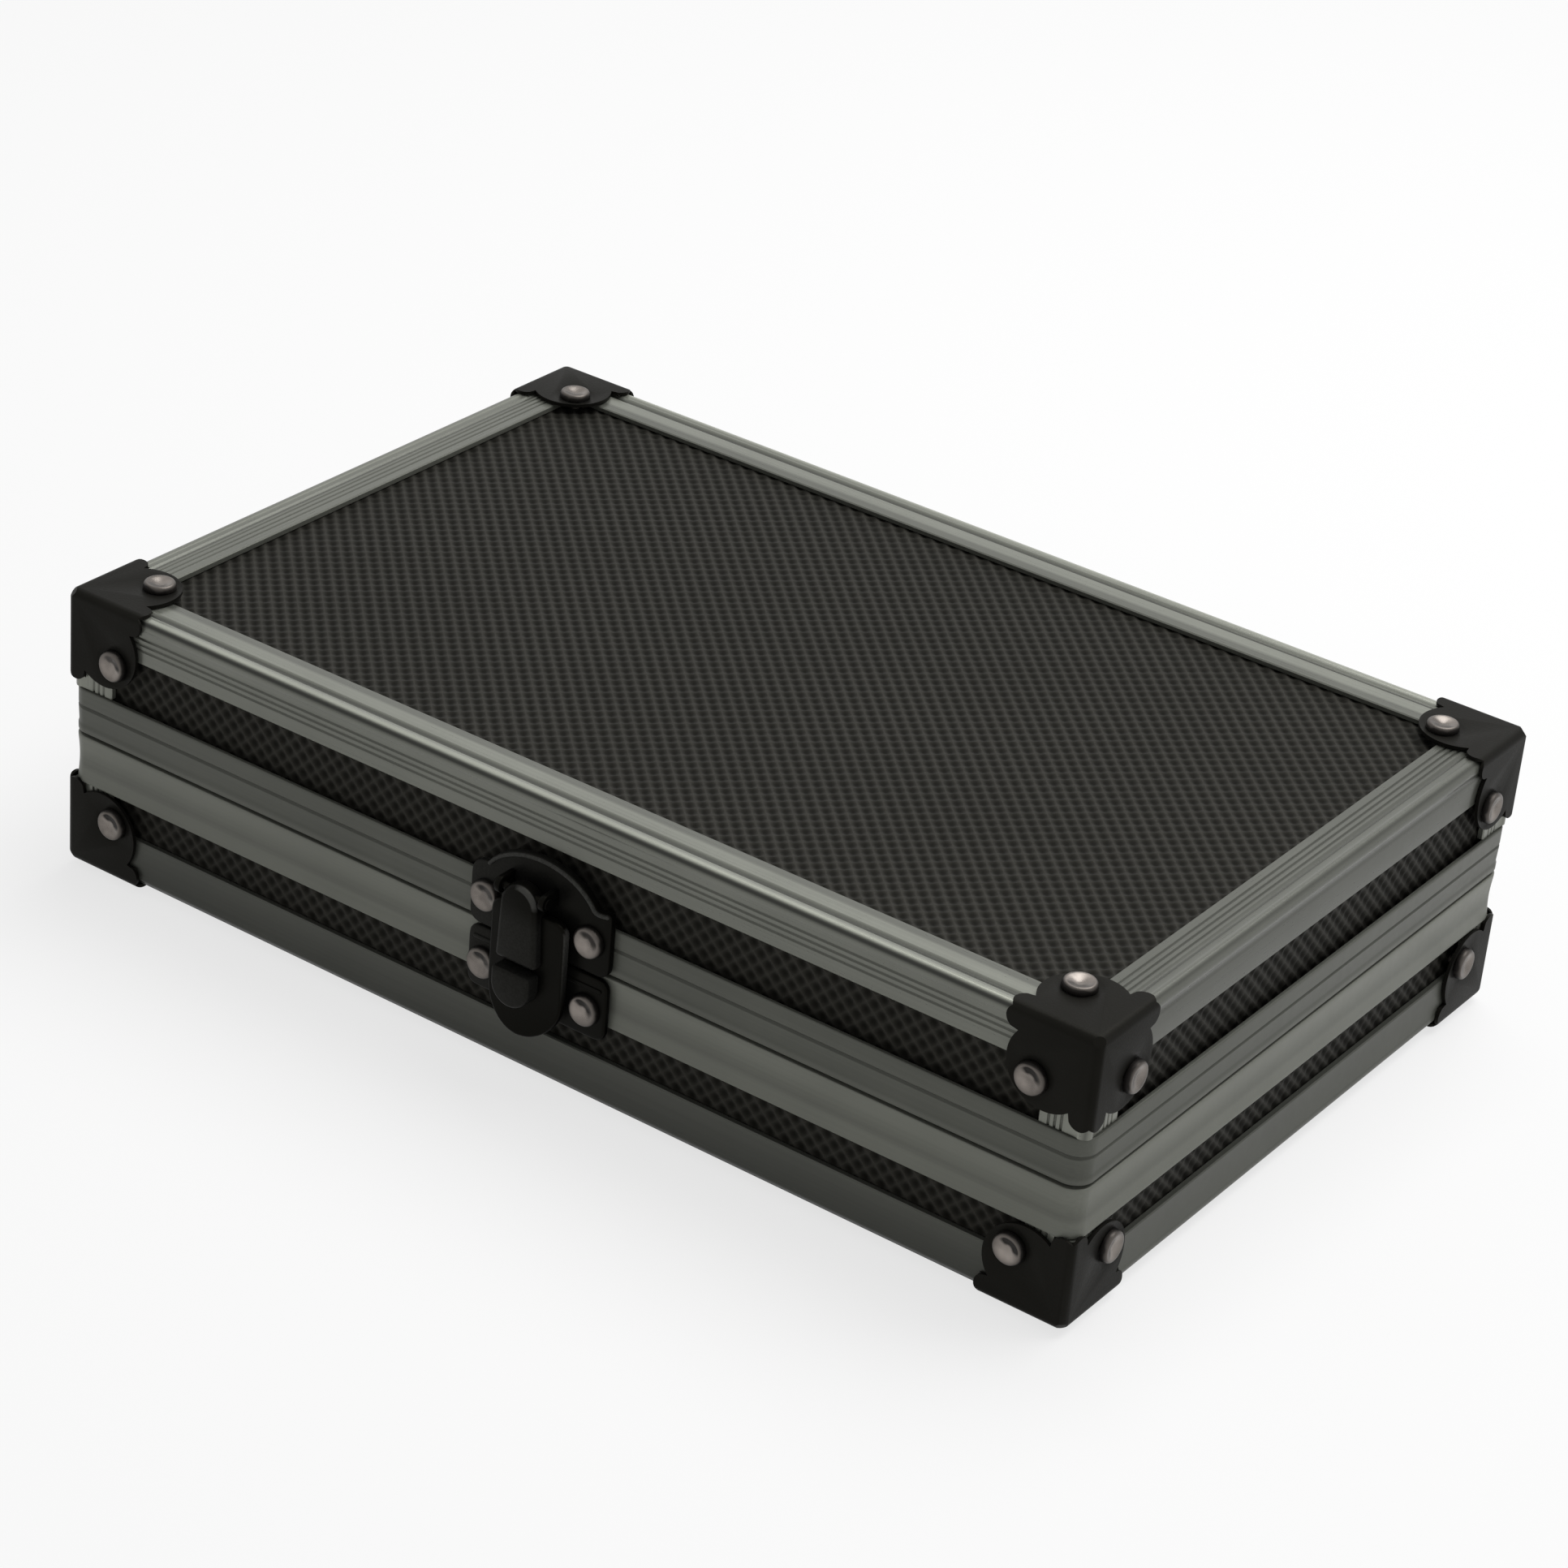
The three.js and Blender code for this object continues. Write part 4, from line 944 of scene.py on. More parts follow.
def cap_shell():
    """A cap for the corner at the origin, its walls running along +X, +Y and -Z."""
    depth = CAP_LOBE - EDGE_ROUND
    places = (
        lambda u, v, t: (u, v, -t),
        lambda u, v, t: (t, u, -v),
        lambda u, v, t: (u, t, -v),
    )
    faces = [bar(cap_outline(), place, -CAP_OVERRUN, depth) for place in places]
    lobes = combined(combined(faces[0], faces[1], "UNION"), faces[2], "UNION")
    shell = softened(block((0, 0, -CAP_BLOCK), (CAP_BLOCK, CAP_BLOCK, 0)), CAP_EDGE_RADIUS, 6)
    shell = combined(shell, lobes, "INTERSECT")
    middle = Vector((CAP_BALL_INSET, CAP_BALL_INSET, -CAP_BALL_INSET))
    shell = combined(shell, ball(middle, CAP_BALL_RADIUS), "INTERSECT")
    room = block((CAP_SHEET, CAP_SHEET, -CAP_BLOCK), (CAP_BLOCK, CAP_BLOCK, -CAP_SHEET))
    room = combined(room, ball(middle, CAP_BALL_RADIUS - CAP_SHEET), "INTERSECT")
    shell = combined(shell, room, "DIFFERENCE")
    press = (DIMPLE_RADIUS**2 + DIMPLE_DEPTH**2) / (2 * DIMPLE_DEPTH)
    out = DIMPLE_DEPTH - press
    inset = RIVET_INSET
    for centre in ((inset, inset, -out), (out, inset, -inset), (inset, out, -inset)):
        shell = combined(shell, ball(centre, press, segments=96), "DIFFERENCE")
    bmesh.ops.dissolve_limit(shell, angle_limit=FLAT_ANGLE, verts=shell.verts, edges=shell.edges)
    return shell


def corner_matrix(half, x, y):
    """Carries what is drawn for the corner at the origin onto a corner of a half."""
    place = Matrix.Translation((x * (FRAME_X + CAP_PROUD), y * (FRAME_Y + CAP_PROUD), CAP_PROUD))
    return half.matrix @ place @ Matrix.Diagonal((-x, -y, 1, 1))


def make_caps(half, shell):
    """The half's four corner caps, copies of one shell."""
    for corner, (x, y) in CORNERS.items():
        cap = turned(shell, corner_matrix(half, x, y))
        piece = half.add(f"{corner}_stamped_cap", cap, CAP_BLACK, "black_cap", f"cap_{corner}")
        edge = piece.modifiers.new("soft_edge", "BEVEL")
        edge.width = CAP_SOFT_EDGE * MM
        edge.segments = 3
        edge.limit_method = "ANGLE"
        edge.angle_limit = CAP_SOFT_ANGLE
        edge.harden_normals = True


# Rivets
RIVET_RADIUS = 2.75
RIVET_HEIGHT = 1.1
RIVET_RIM = 0.25
RIVET_DISH_SHARE = 0.8
RIVET_DISH_DEPTH = 0.5
RIVET_DISH_FALL = 1.4
RIVET_DISH_STEPS = 8
RIVET_SHANK = 1.1
RIVET_SEGMENTS = 40
BRACKET_SHEET = 0.8
BRACKET_REACH = 14.5

# Painted shade on a head, in shares of its radius: a painted contact shadow at the rim and a shaded
# crescent in the dish. Each head's vector points to the crescent's side, and its length is how dark
# the crescent is.
SHADE_RIM_POWER = 5
SHADE_PLACE = 0.55
SHADE_REACH = 0.36
SHADE_CREST = 1.6
SHADE_TURN = 2
SHADE_OPENING = 0.3
TOP_SHADE_SIDE = (-0.15, 0.6, 0)
END_SHADE_SIDE = (0, 0.45, 0.1)
LONG_SHADE_SIDE = (-0.45, 0, 0.9)
SEAM_SHADE_SIDE = (0.4, 0, 0.9)


def rivet(radius, height, shank):
    """A rivet along +Z with a dished head, its head's seat at height zero."""
    bm = bmesh.new()
    rim = RIVET_RIM
    dish = radius * RIVET_DISH_SHARE
    depth = height * RIVET_DISH_DEPTH
    shoulder = arc((dish, rim), radius - dish, 0, QUARTER, steps=6)
    rise = (height - rim) / (radius - dish)
    curve = [(x, rim + (z - rim) * rise) for x, z in shoulder]
    for i in range(1, RIVET_DISH_STEPS + 1):
        share = 1 - i / RIVET_DISH_STEPS
        fall = math.cos(QUARTER * share) ** RIVET_DISH_FALL
        curve.append((dish * share, height - depth * fall))
    profile = [(0, -shank), (RIVET_SHANK, -shank), (RIVET_SHANK, 0), (radius, 0), *curve]
    verts = [bm.verts.new((x, 0, z)) for x, z in profile]
    edges = [bm.edges.new(pair) for pair in zip(verts, verts[1:])]
    bmesh.ops.spin(
        bm,
        geom=verts + edges,
        cent=(0, 0, 0),
        axis=(0, 0, 1),
        angle=2 * math.pi,
        steps=RIVET_SEGMENTS,
        use_merge=True,
    )
    bmesh.ops.remove_doubles(bm, verts=bm.verts, dist=WELD)
    bmesh.ops.recalc_face_normals(bm, faces=bm.faces)
    return bm


def rivet_towards(outward, place, radius, height, shank, shade_side):
    """A rivet whose head looks outward, with painted shade round its rim and a shaded crescent on
    the side the given vector points to.
    """
    outward = Vector(outward)
    shade_side = Vector(shade_side)
    turn = Vector((0, 0, 1)).rotation_difference(outward).to_matrix().to_4x4()
    bm = rivet(radius, height, shank)
    bm.transform(Matrix.Translation(place) @ turn)
    layer = bm.verts.layers.float.new("painted_shade")
    for vert in bm.verts:
        offset = vert.co - Vector(place)
        flat = offset - outward * offset.dot(outward)
        out = min(flat.length / radius, 1)
        lean = flat.normalized().dot(shade_side.normalized())
        ring = min(1, max(0, 1 - abs(out - SHADE_PLACE) / SHADE_REACH) * SHADE_CREST)
        crescent = shade_side.length * ring * min(1, max(0, lean * SHADE_TURN - SHADE_OPENING))
        vert[layer] = max(out**SHADE_RIM_POWER, crescent)
    return bm


def make_rivets(half):
    """Three rivets at each of the half's corners, and the bracket that they hold inside."""
    wall = CAP_PROUD + RAIL_SHEET + BOARD_GAP + BOARD_SHEET + BOARD_GAP
    inner = wall + BRACKET_SHEET
    reach = BRACKET_REACH
    inset = RIVET_INSET
    shank = wall + BOARD_GAP
    head = (RIVET_RADIUS, RIVET_HEIGHT, shank)
    for corner, (x, y) in CORNERS.items():
        sides = Vector((x, y, half.up))
        heads = [
            rivet_towards((0, 0, 1), (inset, inset, 0), *head, sides * Vector(TOP_SHADE_SIDE)),
            rivet_towards((-1, 0, 0), (0, inset, -inset), *head, sides * Vector(END_SHADE_SIDE)),
            rivet_towards((0, -1, 0), (inset, 0, -inset), *head, sides * Vector(LONG_SHADE_SIDE)),
        ]
        bracket = combined(
            block((wall, wall, -reach), (reach, reach, -wall - BOARD_GAP * 2)),
            block((inner, inner, -reach * 2), (reach * 2, reach * 2, -inner - BOARD_GAP * 2)),
            "DIFFERENCE",
        )
        whole = merged(*heads, bracket)
        whole.transform(corner_matrix(half, x, y))
        half.add(f"{corner}_corner_rivets", whole, NICKEL, "nickel_rivet", f"rivets_{corner}")


# Latch, drawn across from its middle and up from the seam's top
LATCH_PLACE = 0.35
PLATE_SHIFT = 0.35
TONGUE_SHIFT = -1.0
LATCH_HALF_WIDTH = 13.7
LATCH_EAR_ROUND = 2.2
LATCH_DROP = 0.2
LATCH_SOFT_EDGE = 0.42
LID_EAR_TOP = 11.0
LEFT_EAR_TOP = 8.2
ARCH_HALF_WIDTH = 12.0
ARCH_RISE = 7.2
ARCH_HEIGHT = 8.8
ARCH_START = math.radians(27)
ARCH_STEPS = 40
ARCH_RIM = 0.45
ARCH_RIM_INSET = 0.12
ARCH_RIM_WIDTH = 0.585
ARCH_RIM_ROUND = 0.27
LATCH_RIVET_X = 10.2
LID_RIVET_RISE = 5.3
CATCH_RIVET_DROP = 6.9
CATCH_HEIGHT = 10.9
CATCH_FOLD_DROP = 1.6
CATCH_FOLD_ROUND = 0.3
HASP_HALF_WIDTH = 7.25
HASP_BACK = 2.3
HASP_SHEET = 1.6
HASP_BOTTOM = -14.2
HASP_TOP = 7.6
HASP_TOP_ROUND = 2.4
HASP_LIP_RISE = 7.5
HASP_LIP_PROUD = 1.5
HASP_LIP_STEPS = 10
HASP_ROUND = 0.5
TONGUE_TOP_HALF = 3.5
TONGUE_LOW_HALF = 4.0
TONGUE_PROUD = 5.5
TONGUE_LOW = -1.6
TONGUE_ROUND = 0.8
TONGUE_PAINTED_LIGHT = 0.24
CRESCENT_WIDTH = 0.7
CRESCENT_END = 105
CRESCENT_HIGHLIGHT = 2.2
HASP_EDGE_WIDTH = 0.3
HASP_EDGE_HIGHLIGHT = 0.9
PLATE_LEFT_PALING = 0.26
BOSS_HALF = 3.7
BOSS_PROUD = 6.5
BOSS_TOP = -2.8
BOSS_LOW = -9.1
BOSS_ROUND = 0.6
PIN_RISE = 10.5
PIN_PROUD = 4.1
BARREL_RADIUS = 1.7
LUG_SHEET = 1.0
LUG_RADIUS = 1.4
CATCH_HOOK_HALF = 2.2
CATCH_HOOK_DROP = 3.0
CATCH_HOOK_SHEET = 1.2
CATCH_HOOK_REACH = 1.8
RUNNING_GAP = 0.3

# Points of the lid plate's right shoulder, from its ear's corner; the pull is level with
# that corner and across from the arch's foot
EAR_SIDE = (-0.3, 0.1)
SHOULDER_START = (-0.4, 0.2)
SHOULDER_RISE = (-0.9, 0.25)
SHOULDER_PULL = (0.6, -0.15)

# Points of the catch plate's fold, from its upper corner
FOLD_START = (-1.2, -0.7)
FOLD_PULL = (-0.6, 0)
FOLD_END = (-1.6, 0)


def on_front(u, v, t):
    """A point on the front: across, up from the seam's top, and out from the front face."""
    return (LATCH_PLACE + u, FRONT - t, SEAM_TOP + v)


def front_plate(outline, near, far, edge, middle=0.0):
    """A plate on the front from its outline, with rounded edges."""
    moved = [(u + middle, v) for u, v in outline]
    return softened(bar(moved, on_front, near, far), edge, 4)


def shifted(point, step):
    """A point moved by a step."""
    return (point[0] + step[0], point[1] + step[1])


def mirrored(right):
    """Closes an outline that is drawn upwards on its right side."""
    return right + [(-u, v) for u, v in reversed(right)]


def grown(points, distance):
    """An open line of points moved out to its right by a distance."""
    moved = []
    for i, (u, v) in enumerate(points):
        before = points[max(i - 1, 0)]
        after = points[min(i + 1, len(points) - 1)]
        run, rise = after[0] - before[0], after[1] - before[1]
        length = math.hypot(run, rise)
        moved.append((u + distance * rise / length, v - distance * run / length))
    return moved


def lightened(bm, share=lambda u, v, t: 1.0):
    """Marks how far a piece's colour turns pale at each place on the front; on the latch this holds
    painted highlights and painted light.
    """
    layer = bm.verts.layers.float.new("lightened")
    for vert in bm.verts:
        vert[layer] = share(vert.co.x - LATCH_PLACE, vert.co.z - SEAM_TOP, FRONT - vert.co.y)
    return bm


def plate_paler_to_left(u, v, t):
    """A plate is paler towards its left ear."""
    return PLATE_LEFT_PALING * (0.5 - u / (2 * LATCH_HALF_WIDTH))


def hasp_edge_highlight(u, v, t):
    """A painted highlight along the hasp's right edge, above its lip."""
    edge = u > HASP_HALF_WIDTH - HASP_EDGE_WIDTH and v > HASP_BOTTOM + HASP_LIP_RISE
    return HASP_EDGE_HIGHLIGHT if edge else 0.0


def tongue_painted_light(u, v, t):
    """Painted light on the tongue: none from its crown up, more towards its foot, and a painted
    highlight round its upper right edge.
    """
    high = TONGUE_TOP_HALF
    u -= TONGUE_SHIFT
    v -= PIN_RISE + BARREL_RADIUS - high
    angle = math.atan2(v, u) / math.radians(CRESCENT_END)
    front_edge = math.hypot(u, v) > high - CRESCENT_WIDTH and t > TONGUE_PROUD - CRESCENT_WIDTH
    if front_edge and 0 < angle < 1:
        return CRESCENT_HIGHLIGHT * math.sin(math.pi * angle)
    return TONGUE_PAINTED_LIGHT * min(1, max(0, -v / high))


def lid_plate_top(side, top):
    """The lid plate's upper edge, from its right ear over the arch."""
    arch = []
    for i in range(ARCH_STEPS + 1):
        angle = ARCH_START + (math.pi - 2 * ARCH_START) * i / ARCH_STEPS
        height = ARCH_RISE + ARCH_HEIGHT * math.sin(angle)
        arch.append((ARCH_HALF_WIDTH * math.cos(angle), height))
    ear = (side, top)
    rise = shifted(ear, SHOULDER_RISE)
    pull = shifted((arch[0][0], top), SHOULDER_PULL)
    return [shifted(ear, SHOULDER_START), *bend(rise, pull, arch[0])[:-1], *arch]


def make_lid_plate():
    """The latch's arched plate on the lid, with its rolled rim and the hasp pin's two lugs."""
    near, far = PLATE_SEAT, PLATE_SEAT + PLATE_SHEET
    side = LATCH_HALF_WIDTH
    top = LID_EAR_TOP
    low = -LATCH_DROP
    ear = LATCH_EAR_ROUND
    corner = bend((side - ear, low), (side, low), (side, low + ear))
    ear_side = shifted((side, top), EAR_SIDE)
    right = corner + bend((side, top - ear / 2), (side, top), ear_side, steps=3)
    edge = lid_plate_top(side, top)
    shoulder = bend(edge[-1], (-side, edge[-1][1]), (-side, LEFT_EAR_TOP))[1:]
    outline = right + edge + shoulder + [(-u, v) for u, v in reversed(corner)]
    plate = front_plate(outline, near, far, LATCH_SOFT_EDGE, PLATE_SHIFT)
    rim_outline = grown(edge, -ARCH_RIM_INSET)
    rim_outline += reversed(grown(edge, -ARCH_RIM_INSET - ARCH_RIM_WIDTH))
    rim = front_plate(rim_outline, far - ARCH_RIM, far + ARCH_RIM, ARCH_RIM_ROUND, PLATE_SHIFT)
    lugs = []
    root = far - PLATE_SHEET / 2
    lug_outline = arc((PIN_PROUD, PIN_RISE), LUG_RADIUS, -QUARTER, QUARTER, steps=12)
    lug_outline += [(root, PIN_RISE + LUG_RADIUS), (root, PIN_RISE - LUG_RADIUS)]
    near_side = TONGUE_TOP_HALF + RUNNING_GAP
    for inner in (TONGUE_SHIFT - near_side - LUG_SHEET, TONGUE_SHIFT + near_side):
        lug = bar(lug_outline, lambda u, v, t: on_front(t, v, u), inner, inner + LUG_SHEET)
        lugs.append(softened(lug, EDGE_ROUND))
    # The rim carries a painted highlight along all its length.
    whole = merged(lightened(plate, plate_paler_to_left), lightened(rim), *lugs)
    add_piece("latch_lid_bracket", whole, LATCH_BLACK, "lid", ["latch_lid_plate"])


def make_catch_plate():
    """The latch's eared plate on the base, with its fold and the hook that the hasp takes."""
    side = LATCH_HALF_WIDTH
    ear = LATCH_EAR_ROUND
    top = -SEAM_GAP - LATCH_DROP
    low = top - CATCH_HEIGHT
    right = bend((side - ear, low), (side, low), (side, low + ear))
    right += bend((side, top - ear), (side, top), (side - ear, top))
    far = PLATE_SEAT + PLATE_SHEET
    plate = front_plate(mirrored(right), PLATE_SEAT, far, LATCH_SOFT_EDGE, PLATE_SHIFT)
    fold_corner = (side, top - CATCH_FOLD_DROP)
    fold = bend(*(shifted(fold_corner, step) for step in (FOLD_START, FOLD_PULL, FOLD_END)))
    crease_far = far + ARCH_RIM / 2
    crease = front_plate(
        mirrored(fold), far - ARCH_RIM, crease_far, CATCH_FOLD_ROUND, PLATE_SHIFT
    )
    hook_top = -CATCH_HOOK_DROP
    hook = block(
        on_front(-CATCH_HOOK_HALF, hook_top - CATCH_HOOK_SHEET, far + CATCH_HOOK_REACH),
        on_front(CATCH_HOOK_HALF, hook_top, far - PLATE_SHEET / 2),
    )
    paled = (lightened(plate, plate_paler_to_left), lightened(crease, plate_paler_to_left))
    whole = merged(*paled, softened(hook, EDGE_ROUND))
    name = "latch_catch_bracket"
    add_piece(name, whole, LATCH_BLACK, "base", ["latch_catch_plate"])


def cut_level(bm, height):
    """Adds a line of edges round a piece at a height."""
    bmesh.ops.bisect_plane(
        bm,
        geom=[*bm.verts, *bm.edges, *bm.faces],
        plane_co=on_front(0, height, 0),
        plane_no=(0, 0, 1),
    )


def make_hasp():
    """The hasp: a flange with a curled lip, a raised tongue over the pin and a boss below."""
    half = HASP_HALF_WIDTH
    turn = HASP_TOP_ROUND
    front = HASP_BACK + HASP_SHEET
    outline = arc((0, HASP_BOTTOM + half), half, -math.pi, 0, steps=32)
    outline += bend((half, HASP_TOP - turn), (half, HASP_TOP), (half - turn, HASP_TOP))
    outline += bend((turn - half, HASP_TOP), (-half, HASP_TOP), (-half, HASP_TOP - turn))
    flange = front_plate(outline, HASP_BACK, front, HASP_ROUND)
    lip_top = HASP_BOTTOM + HASP_LIP_RISE
    for i in range(HASP_LIP_STEPS):
        cut_level(flange, lip_top - HASP_LIP_RISE * i / HASP_LIP_STEPS)
    for vert in flange.verts:
        share = max(0, (SEAM_TOP + lip_top - vert.co.z) / HASP_LIP_RISE)
        vert.co.y -= HASP_LIP_PROUD * share**2

    low, high = TONGUE_LOW_HALF, TONGUE_TOP_HALF
    crown = PIN_RISE + BARREL_RADIUS - high
    outline = [(-low, TONGUE_LOW), (low, TONGUE_LOW)]
    outline += arc((0, crown), high, 0, math.pi, steps=24)
    back = HASP_BACK + EDGE_ROUND
    tongue = front_plate(outline, back, TONGUE_PROUD, TONGUE_ROUND, TONGUE_SHIFT)
    for height in (crown, crown - high):
        cut_level(tongue, height)

    outline = arc((0, BOSS_LOW + BOSS_HALF), BOSS_HALF, -math.pi, 0, steps=24)
    outline += [(BOSS_HALF, BOSS_TOP), (-BOSS_HALF, BOSS_TOP)]
    boss = front_plate(outline, front - HASP_SHEET / 2, BOSS_PROUD, BOSS_ROUND, TONGUE_SHIFT)

    # The boss gets the tongue's full painted light.
    painted_light_boss = lightened(boss, lambda u, v, t: TONGUE_PAINTED_LIGHT)
    whole = merged(lightened(flange, hasp_edge_highlight), lightened(tongue, tongue_painted_light), painted_light_boss)
    add_piece("latch_sprung_hasp", whole, LATCH_BLACK, "hasp", ["latch_hasp"])


# Rivets above and below the seam
HINGE_RIVET_X = 34.0
HINGE_RIVET_RADIUS = 2.0
HINGE_RIVET_HEIGHT = 0.8
HINGE_RIVET_RISE = 5.6
HINGE_SHEET = 0.8
STRIP_SHEET = 0.8
STRIP_HALF_HEIGHT = 2.2


def make_seam_rivets():
    """The rivets of the latch and the hinge in pairs, each clinched to a strip inside."""
    seam_middle = (SEAM_TOP + SEAM_BOTTOM) / 2
    latch = (LATCH_RIVET_X, RIVET_RADIUS, RIVET_HEIGHT, PLATE_SHEET)
    hinge = (HINGE_RIVET_X, HINGE_RIVET_RADIUS, HINGE_RIVET_HEIGHT, HINGE_SHEET)
    inner = BOARD_Y - BOARD_SHEET - BOARD_GAP
    pairs = {
        "latch_lid": (-1, SEAM_TOP + LID_RIVET_RISE, "lid", latch),
        "latch_catch": (-1, SEAM_TOP - CATCH_RIVET_DROP, "base", latch),
        "hinge_lid": (1, seam_middle + HINGE_RIVET_RISE, "lid", hinge),
        "hinge_base": (1, seam_middle - HINGE_RIVET_RISE, "base", hinge),
    }
    for name, (sign, height, body, (spacing, radius, rise, sheet)) in pairs.items():
        seat = HALF_Y + PLATE_SEAT + sheet + BOARD_GAP / 2
        middle = LATCH_PLACE if sign < 0 else 0
        shank = seat - inner + STRIP_SHEET / 2
        heads = []
        for side in (-1, 1):
            place = (middle + side * spacing, MIDDLE_Y + sign * seat, height)
            heads.append(rivet_towards((0, sign, 0), place, radius, rise, shank, SEAM_SHADE_SIDE))
        ys = sorted(MIDDLE_Y + sign * one for one in (inner, inner - STRIP_SHEET))
        reach = spacing + RIVET_RADIUS
        strip = block(
            (middle - reach, ys[0], height - STRIP_HALF_HEIGHT),
            (middle + reach, ys[1], height + STRIP_HALF_HEIGHT),
        )
        whole = merged(*heads, softened(strip, EDGE_ROUND))
        node = f"{name}_rivets"
        add_piece(f"{name}_rivet_pair", whole, NICKEL, body, [node])


# Rear hinge
HINGE_HALF_LENGTH = 45.0
HINGE_LEAF_HEIGHT = 8.0
KNUCKLE_RADIUS = 1.7
KNUCKLE_COUNT = 5
KNUCKLE_CURL_END = 2.55 * math.pi
HINGE_AXIS_OUT = PLATE_SEAT + KNUCKLE_RADIUS + RUNNING_GAP


def hinge_leaf(sign, first):
    """A leaf and every second knuckle, drawn out from the back face and up from the axis."""
    axis_z = (SEAM_TOP + SEAM_BOTTOM) / 2
    near = PLATE_SEAT
    far = near + HINGE_SHEET
    clear = KNUCKLE_RADIUS + RUNNING_GAP

    def place(u, v, t):
        return (t, BACK + u, axis_z + sign * v)

    top = HINGE_LEAF_HEIGHT
    leaf_outline = [(near, clear), (far, clear), (far, top), (near, top)]
    parts = [softened(bar(leaf_outline, place, -HINGE_HALF_LENGTH, HINGE_HALF_LENGTH), EDGE_ROUND)]
    roll = near + RUNNING_GAP
    curl = arc((HINGE_AXIS_OUT, 0), KNUCKLE_RADIUS, math.pi, KNUCKLE_CURL_END, steps=28)
    knuckle_outline = [(roll, clear + HINGE_SHEET), *curl, (far + RUNNING_GAP, clear + HINGE_SHEET)]
    pitch = 2 * HINGE_HALF_LENGTH / KNUCKLE_COUNT
    for i in range(first, KNUCKLE_COUNT, 2):
        start = -HINGE_HALF_LENGTH + i * pitch + (RUNNING_GAP / 2 if i else 0)
        end = -HINGE_HALF_LENGTH + (i + 1) * pitch
        end -= RUNNING_GAP / 2 if i < KNUCKLE_COUNT - 1 else 0
        parts.append(softened(bar(knuckle_outline, place, start, end), EDGE_ROUND / 2))
    return merged(*parts)


def make_hinge():
    """The hinge's two leaves, whose knuckles take turns along the pin."""
    leaves = {"lid": (1, 1), "base": (-1, 0)}
    for body, (sign, first) in leaves.items():
        leaf = hinge_leaf(sign, first)
        node = f"hinge_{body}_leaf"
        add_piece(f"hinge_{body}_strap", leaf, RAIL_X, body, [node])


# Foam linings
TRAY_WALL = 8.0
TRAY_DEPTH = 15.0
FOAM_EDGE = 1.1
FOAM_CORNER = 4.0
PAD_EDGE = 1.65
UPRIGHT_SHARE = 0.9


def make_tray():
    """The base's foam block with one deep pocket."""
    low, high = box("base_foam_tray")
    bm = block(low, high)
    top = max(bm.faces, key=lambda face: face.calc_center_median().z)
    bmesh.ops.inset_individual(bm, faces=[top], thickness=TRAY_WALL)
    sunk = bmesh.ops.extrude_face_region(bm, geom=[top])
    bmesh.ops.translate(bm, verts=only_verts(sunk), vec=(0, 0, -TRAY_DEPTH))
    bmesh.ops.delete(bm, geom=[top], context="FACES_ONLY")
    upright = [
        e
        for e in bm.edges
        if abs((e.verts[0].co - e.verts[1].co).normalized().z) > UPRIGHT_SHARE
        and abs(e.verts[0].co.x) < high.x - TRAY_WALL / 2
    ]
    bmesh.ops.bevel(
        bm, geom=upright, offset=FOAM_CORNER, segments=6, profile=0.5, affect="EDGES", material=-1
    )
    softened(bm, FOAM_EDGE, 4)
    tray = add_piece("base_cut_foam", bm, FOAM, "base", ["base_foam_tray"])


def make_lid_pad():
    """The foam sheet under the lid."""
    low, high = box("lid_foam_pad")
    pad = softened(block(low, high), PAD_EDGE, 5)
    piece = add_piece("lid_foam_sheet", pad, FOAM, "lid", ["lid_foam_pad"])


# CAD nodes that are shown as they are
def finish_cad_nodes():
    steel = (STEEL, "spring_steel")
    finishes = {
        "latch_pin": (LATCH_BLACK, "black_latch"),
        "latch_spring": steel,
        "hinge_pin": steel,
    }
    for name, (material, slot) in finishes.items():
        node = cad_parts[name]
        node.data.materials.clear()
        node.data.materials.append(material)


# Studio
FLOOR_SIZE = 6000.0
FLOOR_PAPER = (0.92, 0.92, 0.92, 1)
FLOOR_GLOW = 0.72
WHITE = (1, 1, 1, 1)
WORLD_FILL = 0.34
LIGHT_TARGET = (0, 0, 20)
LENS = 101.54
SENSOR = 36.0
CLIP_START = 0.01
CLIP_END = 20
CAMERA_PLACE = (353.0, -533.75, 381.05)
CAMERA_RIGHT = (0.8063, 0.5860, 0.0809)
CAMERA_UP = (-0.3417, 0.3497, 0.8724)
CAMERA_BACK = (0.4829, -0.7310, 0.4822)


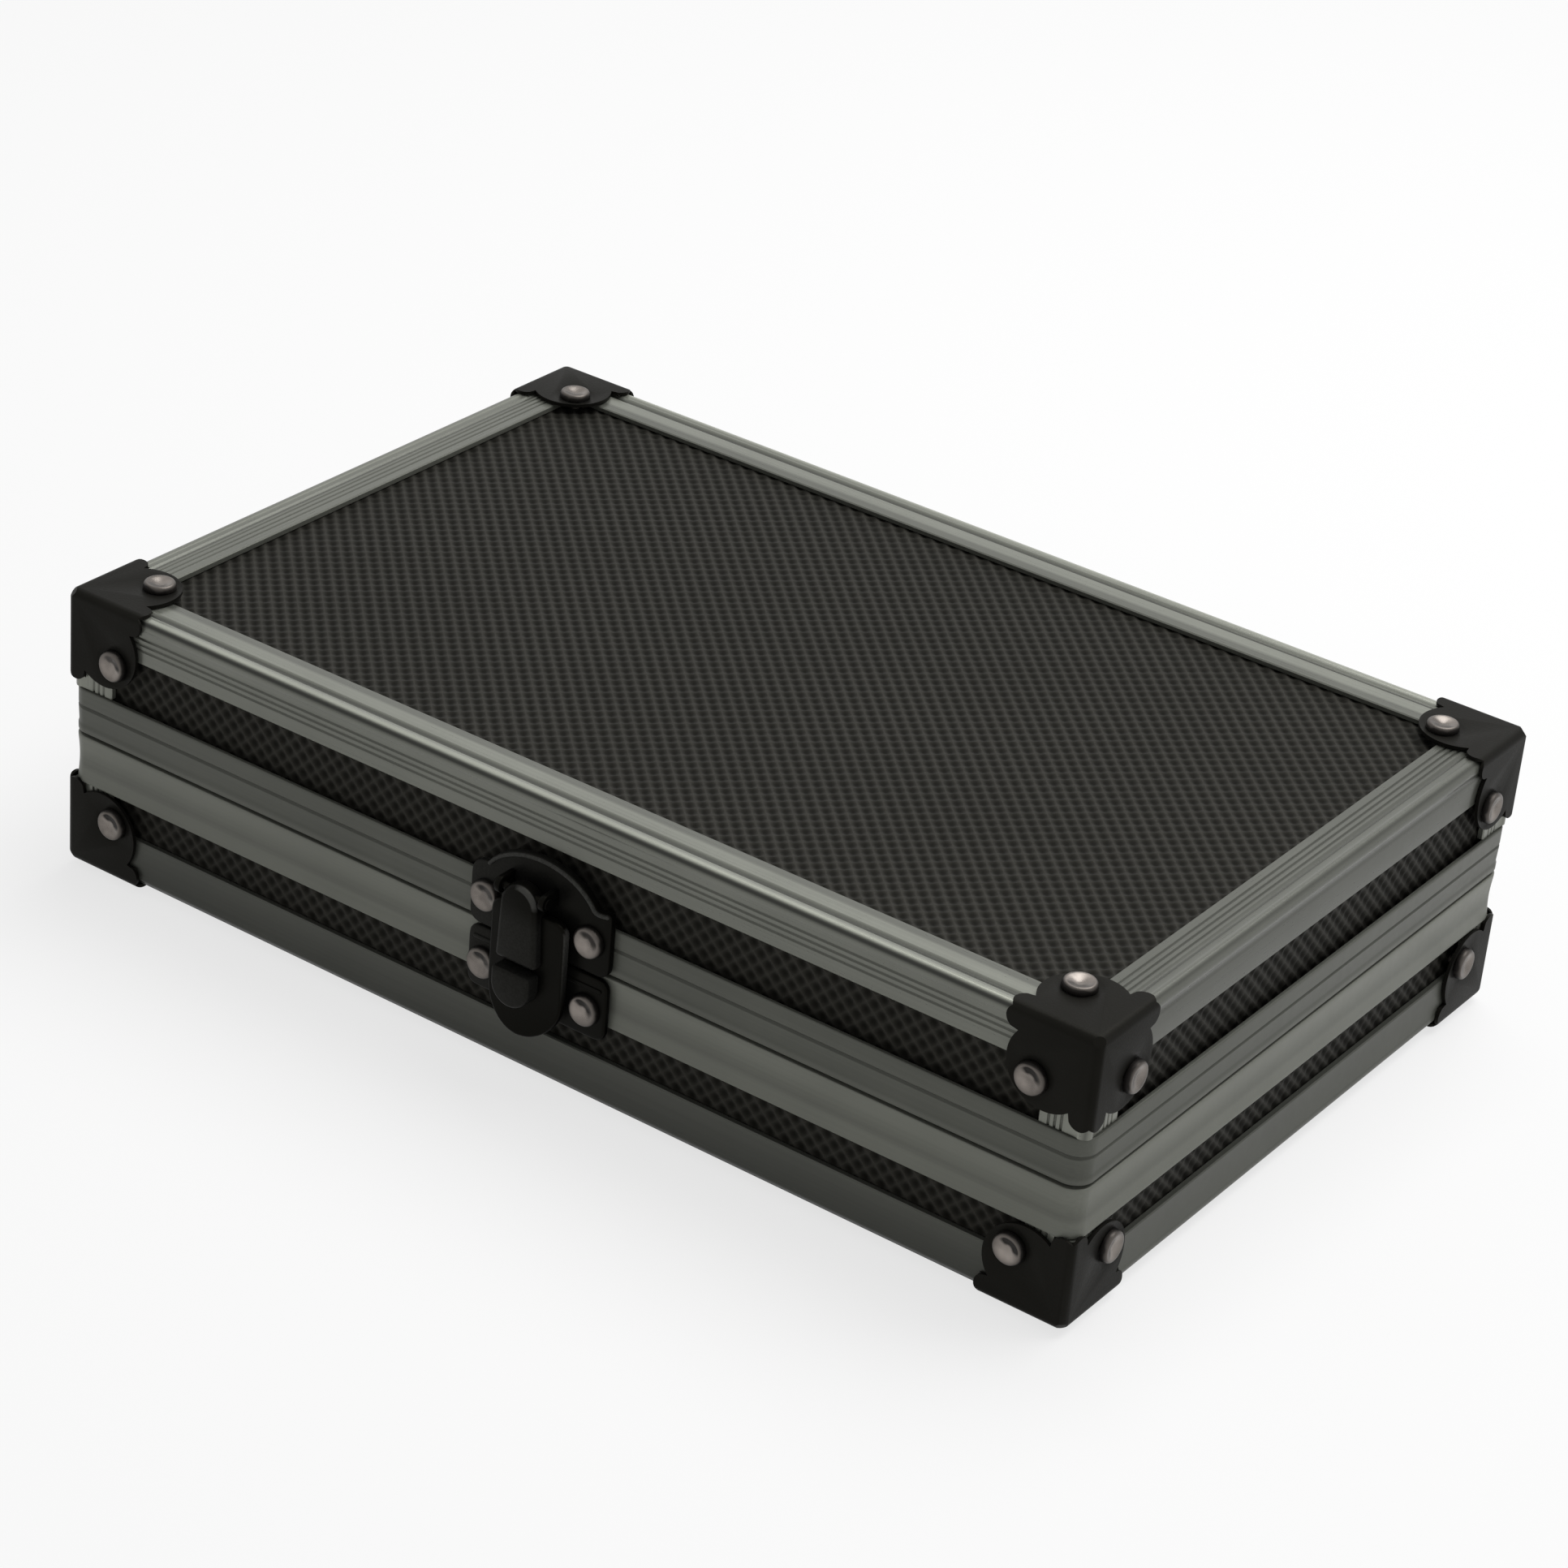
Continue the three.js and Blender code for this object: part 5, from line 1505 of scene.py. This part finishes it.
def make_floor():
    """Pale paper that keeps the shadow and glows a little for the camera."""
    bm = bmesh.new()
    bmesh.ops.create_grid(bm, x_segments=1, y_segments=1, size=FLOOR_SIZE / 2 * MM)
    floor = as_object("floor", bm)
    shader = Shader("floor_paper")
    paper = shader.node("ShaderNodeBsdfDiffuse", {}, Color=FLOOR_PAPER)
    glow = shader.node("ShaderNodeEmission", {}, Color=WHITE, Strength=1.0)
    share = shader.seen_directly() * FLOOR_GLOW
    surface = shader.node("ShaderNodeMixShader", {}, share, paper, glow)
    shader.node("ShaderNodeOutputMaterial", {"target": "ALL"}, surface, out=None)
    floor.data.materials.append(shader.material)


def make_world():
    """A white backdrop for the camera and a soft fill for the case."""
    world = bpy.data.worlds.new("studio")
    bpy.context.scene.world = world
    world.use_nodes = True
    sky = Nodes(world.node_tree)
    strength = sky.seen_directly() * (1 - WORLD_FILL) + WORLD_FILL
    backdrop = sky.node("ShaderNodeBackground", {}, Color=WHITE, Strength=strength)
    sky.node("ShaderNodeOutputWorld", {}, backdrop, out=None)


def area_light(name, place, size, power):
    """A rectangular softbox that looks at the case."""
    data = bpy.data.lights.new(name, "AREA")
    data.shape = "RECTANGLE"
    data.size = size[0] * MM
    data.size_y = size[1] * MM
    data.energy = power
    lamp = placed(name, data)
    lamp.location = Vector(place) * MM
    aim = (Vector(LIGHT_TARGET) - Vector(place)).normalized()
    lamp.rotation_euler = aim.to_track_quat("-Z", "Y").to_euler()


def make_camera():
    """The photograph's viewing angle."""
    data = bpy.data.cameras.new("camera")
    data.sensor_width = SENSOR
    data.lens = LENS
    data.clip_start = CLIP_START
    data.clip_end = CLIP_END
    camera = placed("camera", data)
    place = Vector(CAMERA_PLACE) * MM
    camera.matrix_world = facing(CAMERA_RIGHT, CAMERA_UP, CAMERA_BACK, place)
    bpy.context.scene.camera = camera


corner_shell = cap_shell()
for one_half in HALVES:
    make_boards(one_half)
    make_rails(one_half)
    make_posts(one_half)
    make_band(one_half)
    make_caps(one_half, corner_shell)
    make_rivets(one_half)
corner_shell.free()
make_lid_plate()
make_catch_plate()
make_hasp()
make_seam_rivets()
make_hinge()
make_tray()
make_lid_pad()
finish_cad_nodes()

make_floor()
make_world()
area_light("top_softbox", (150, 350, 900), (900, 700), 8.0)
area_light("right_softbox", (900, 0, 350), (600, 500), 0.2)
make_camera()

bpy.context.scene.view_settings.view_transform = "Standard"
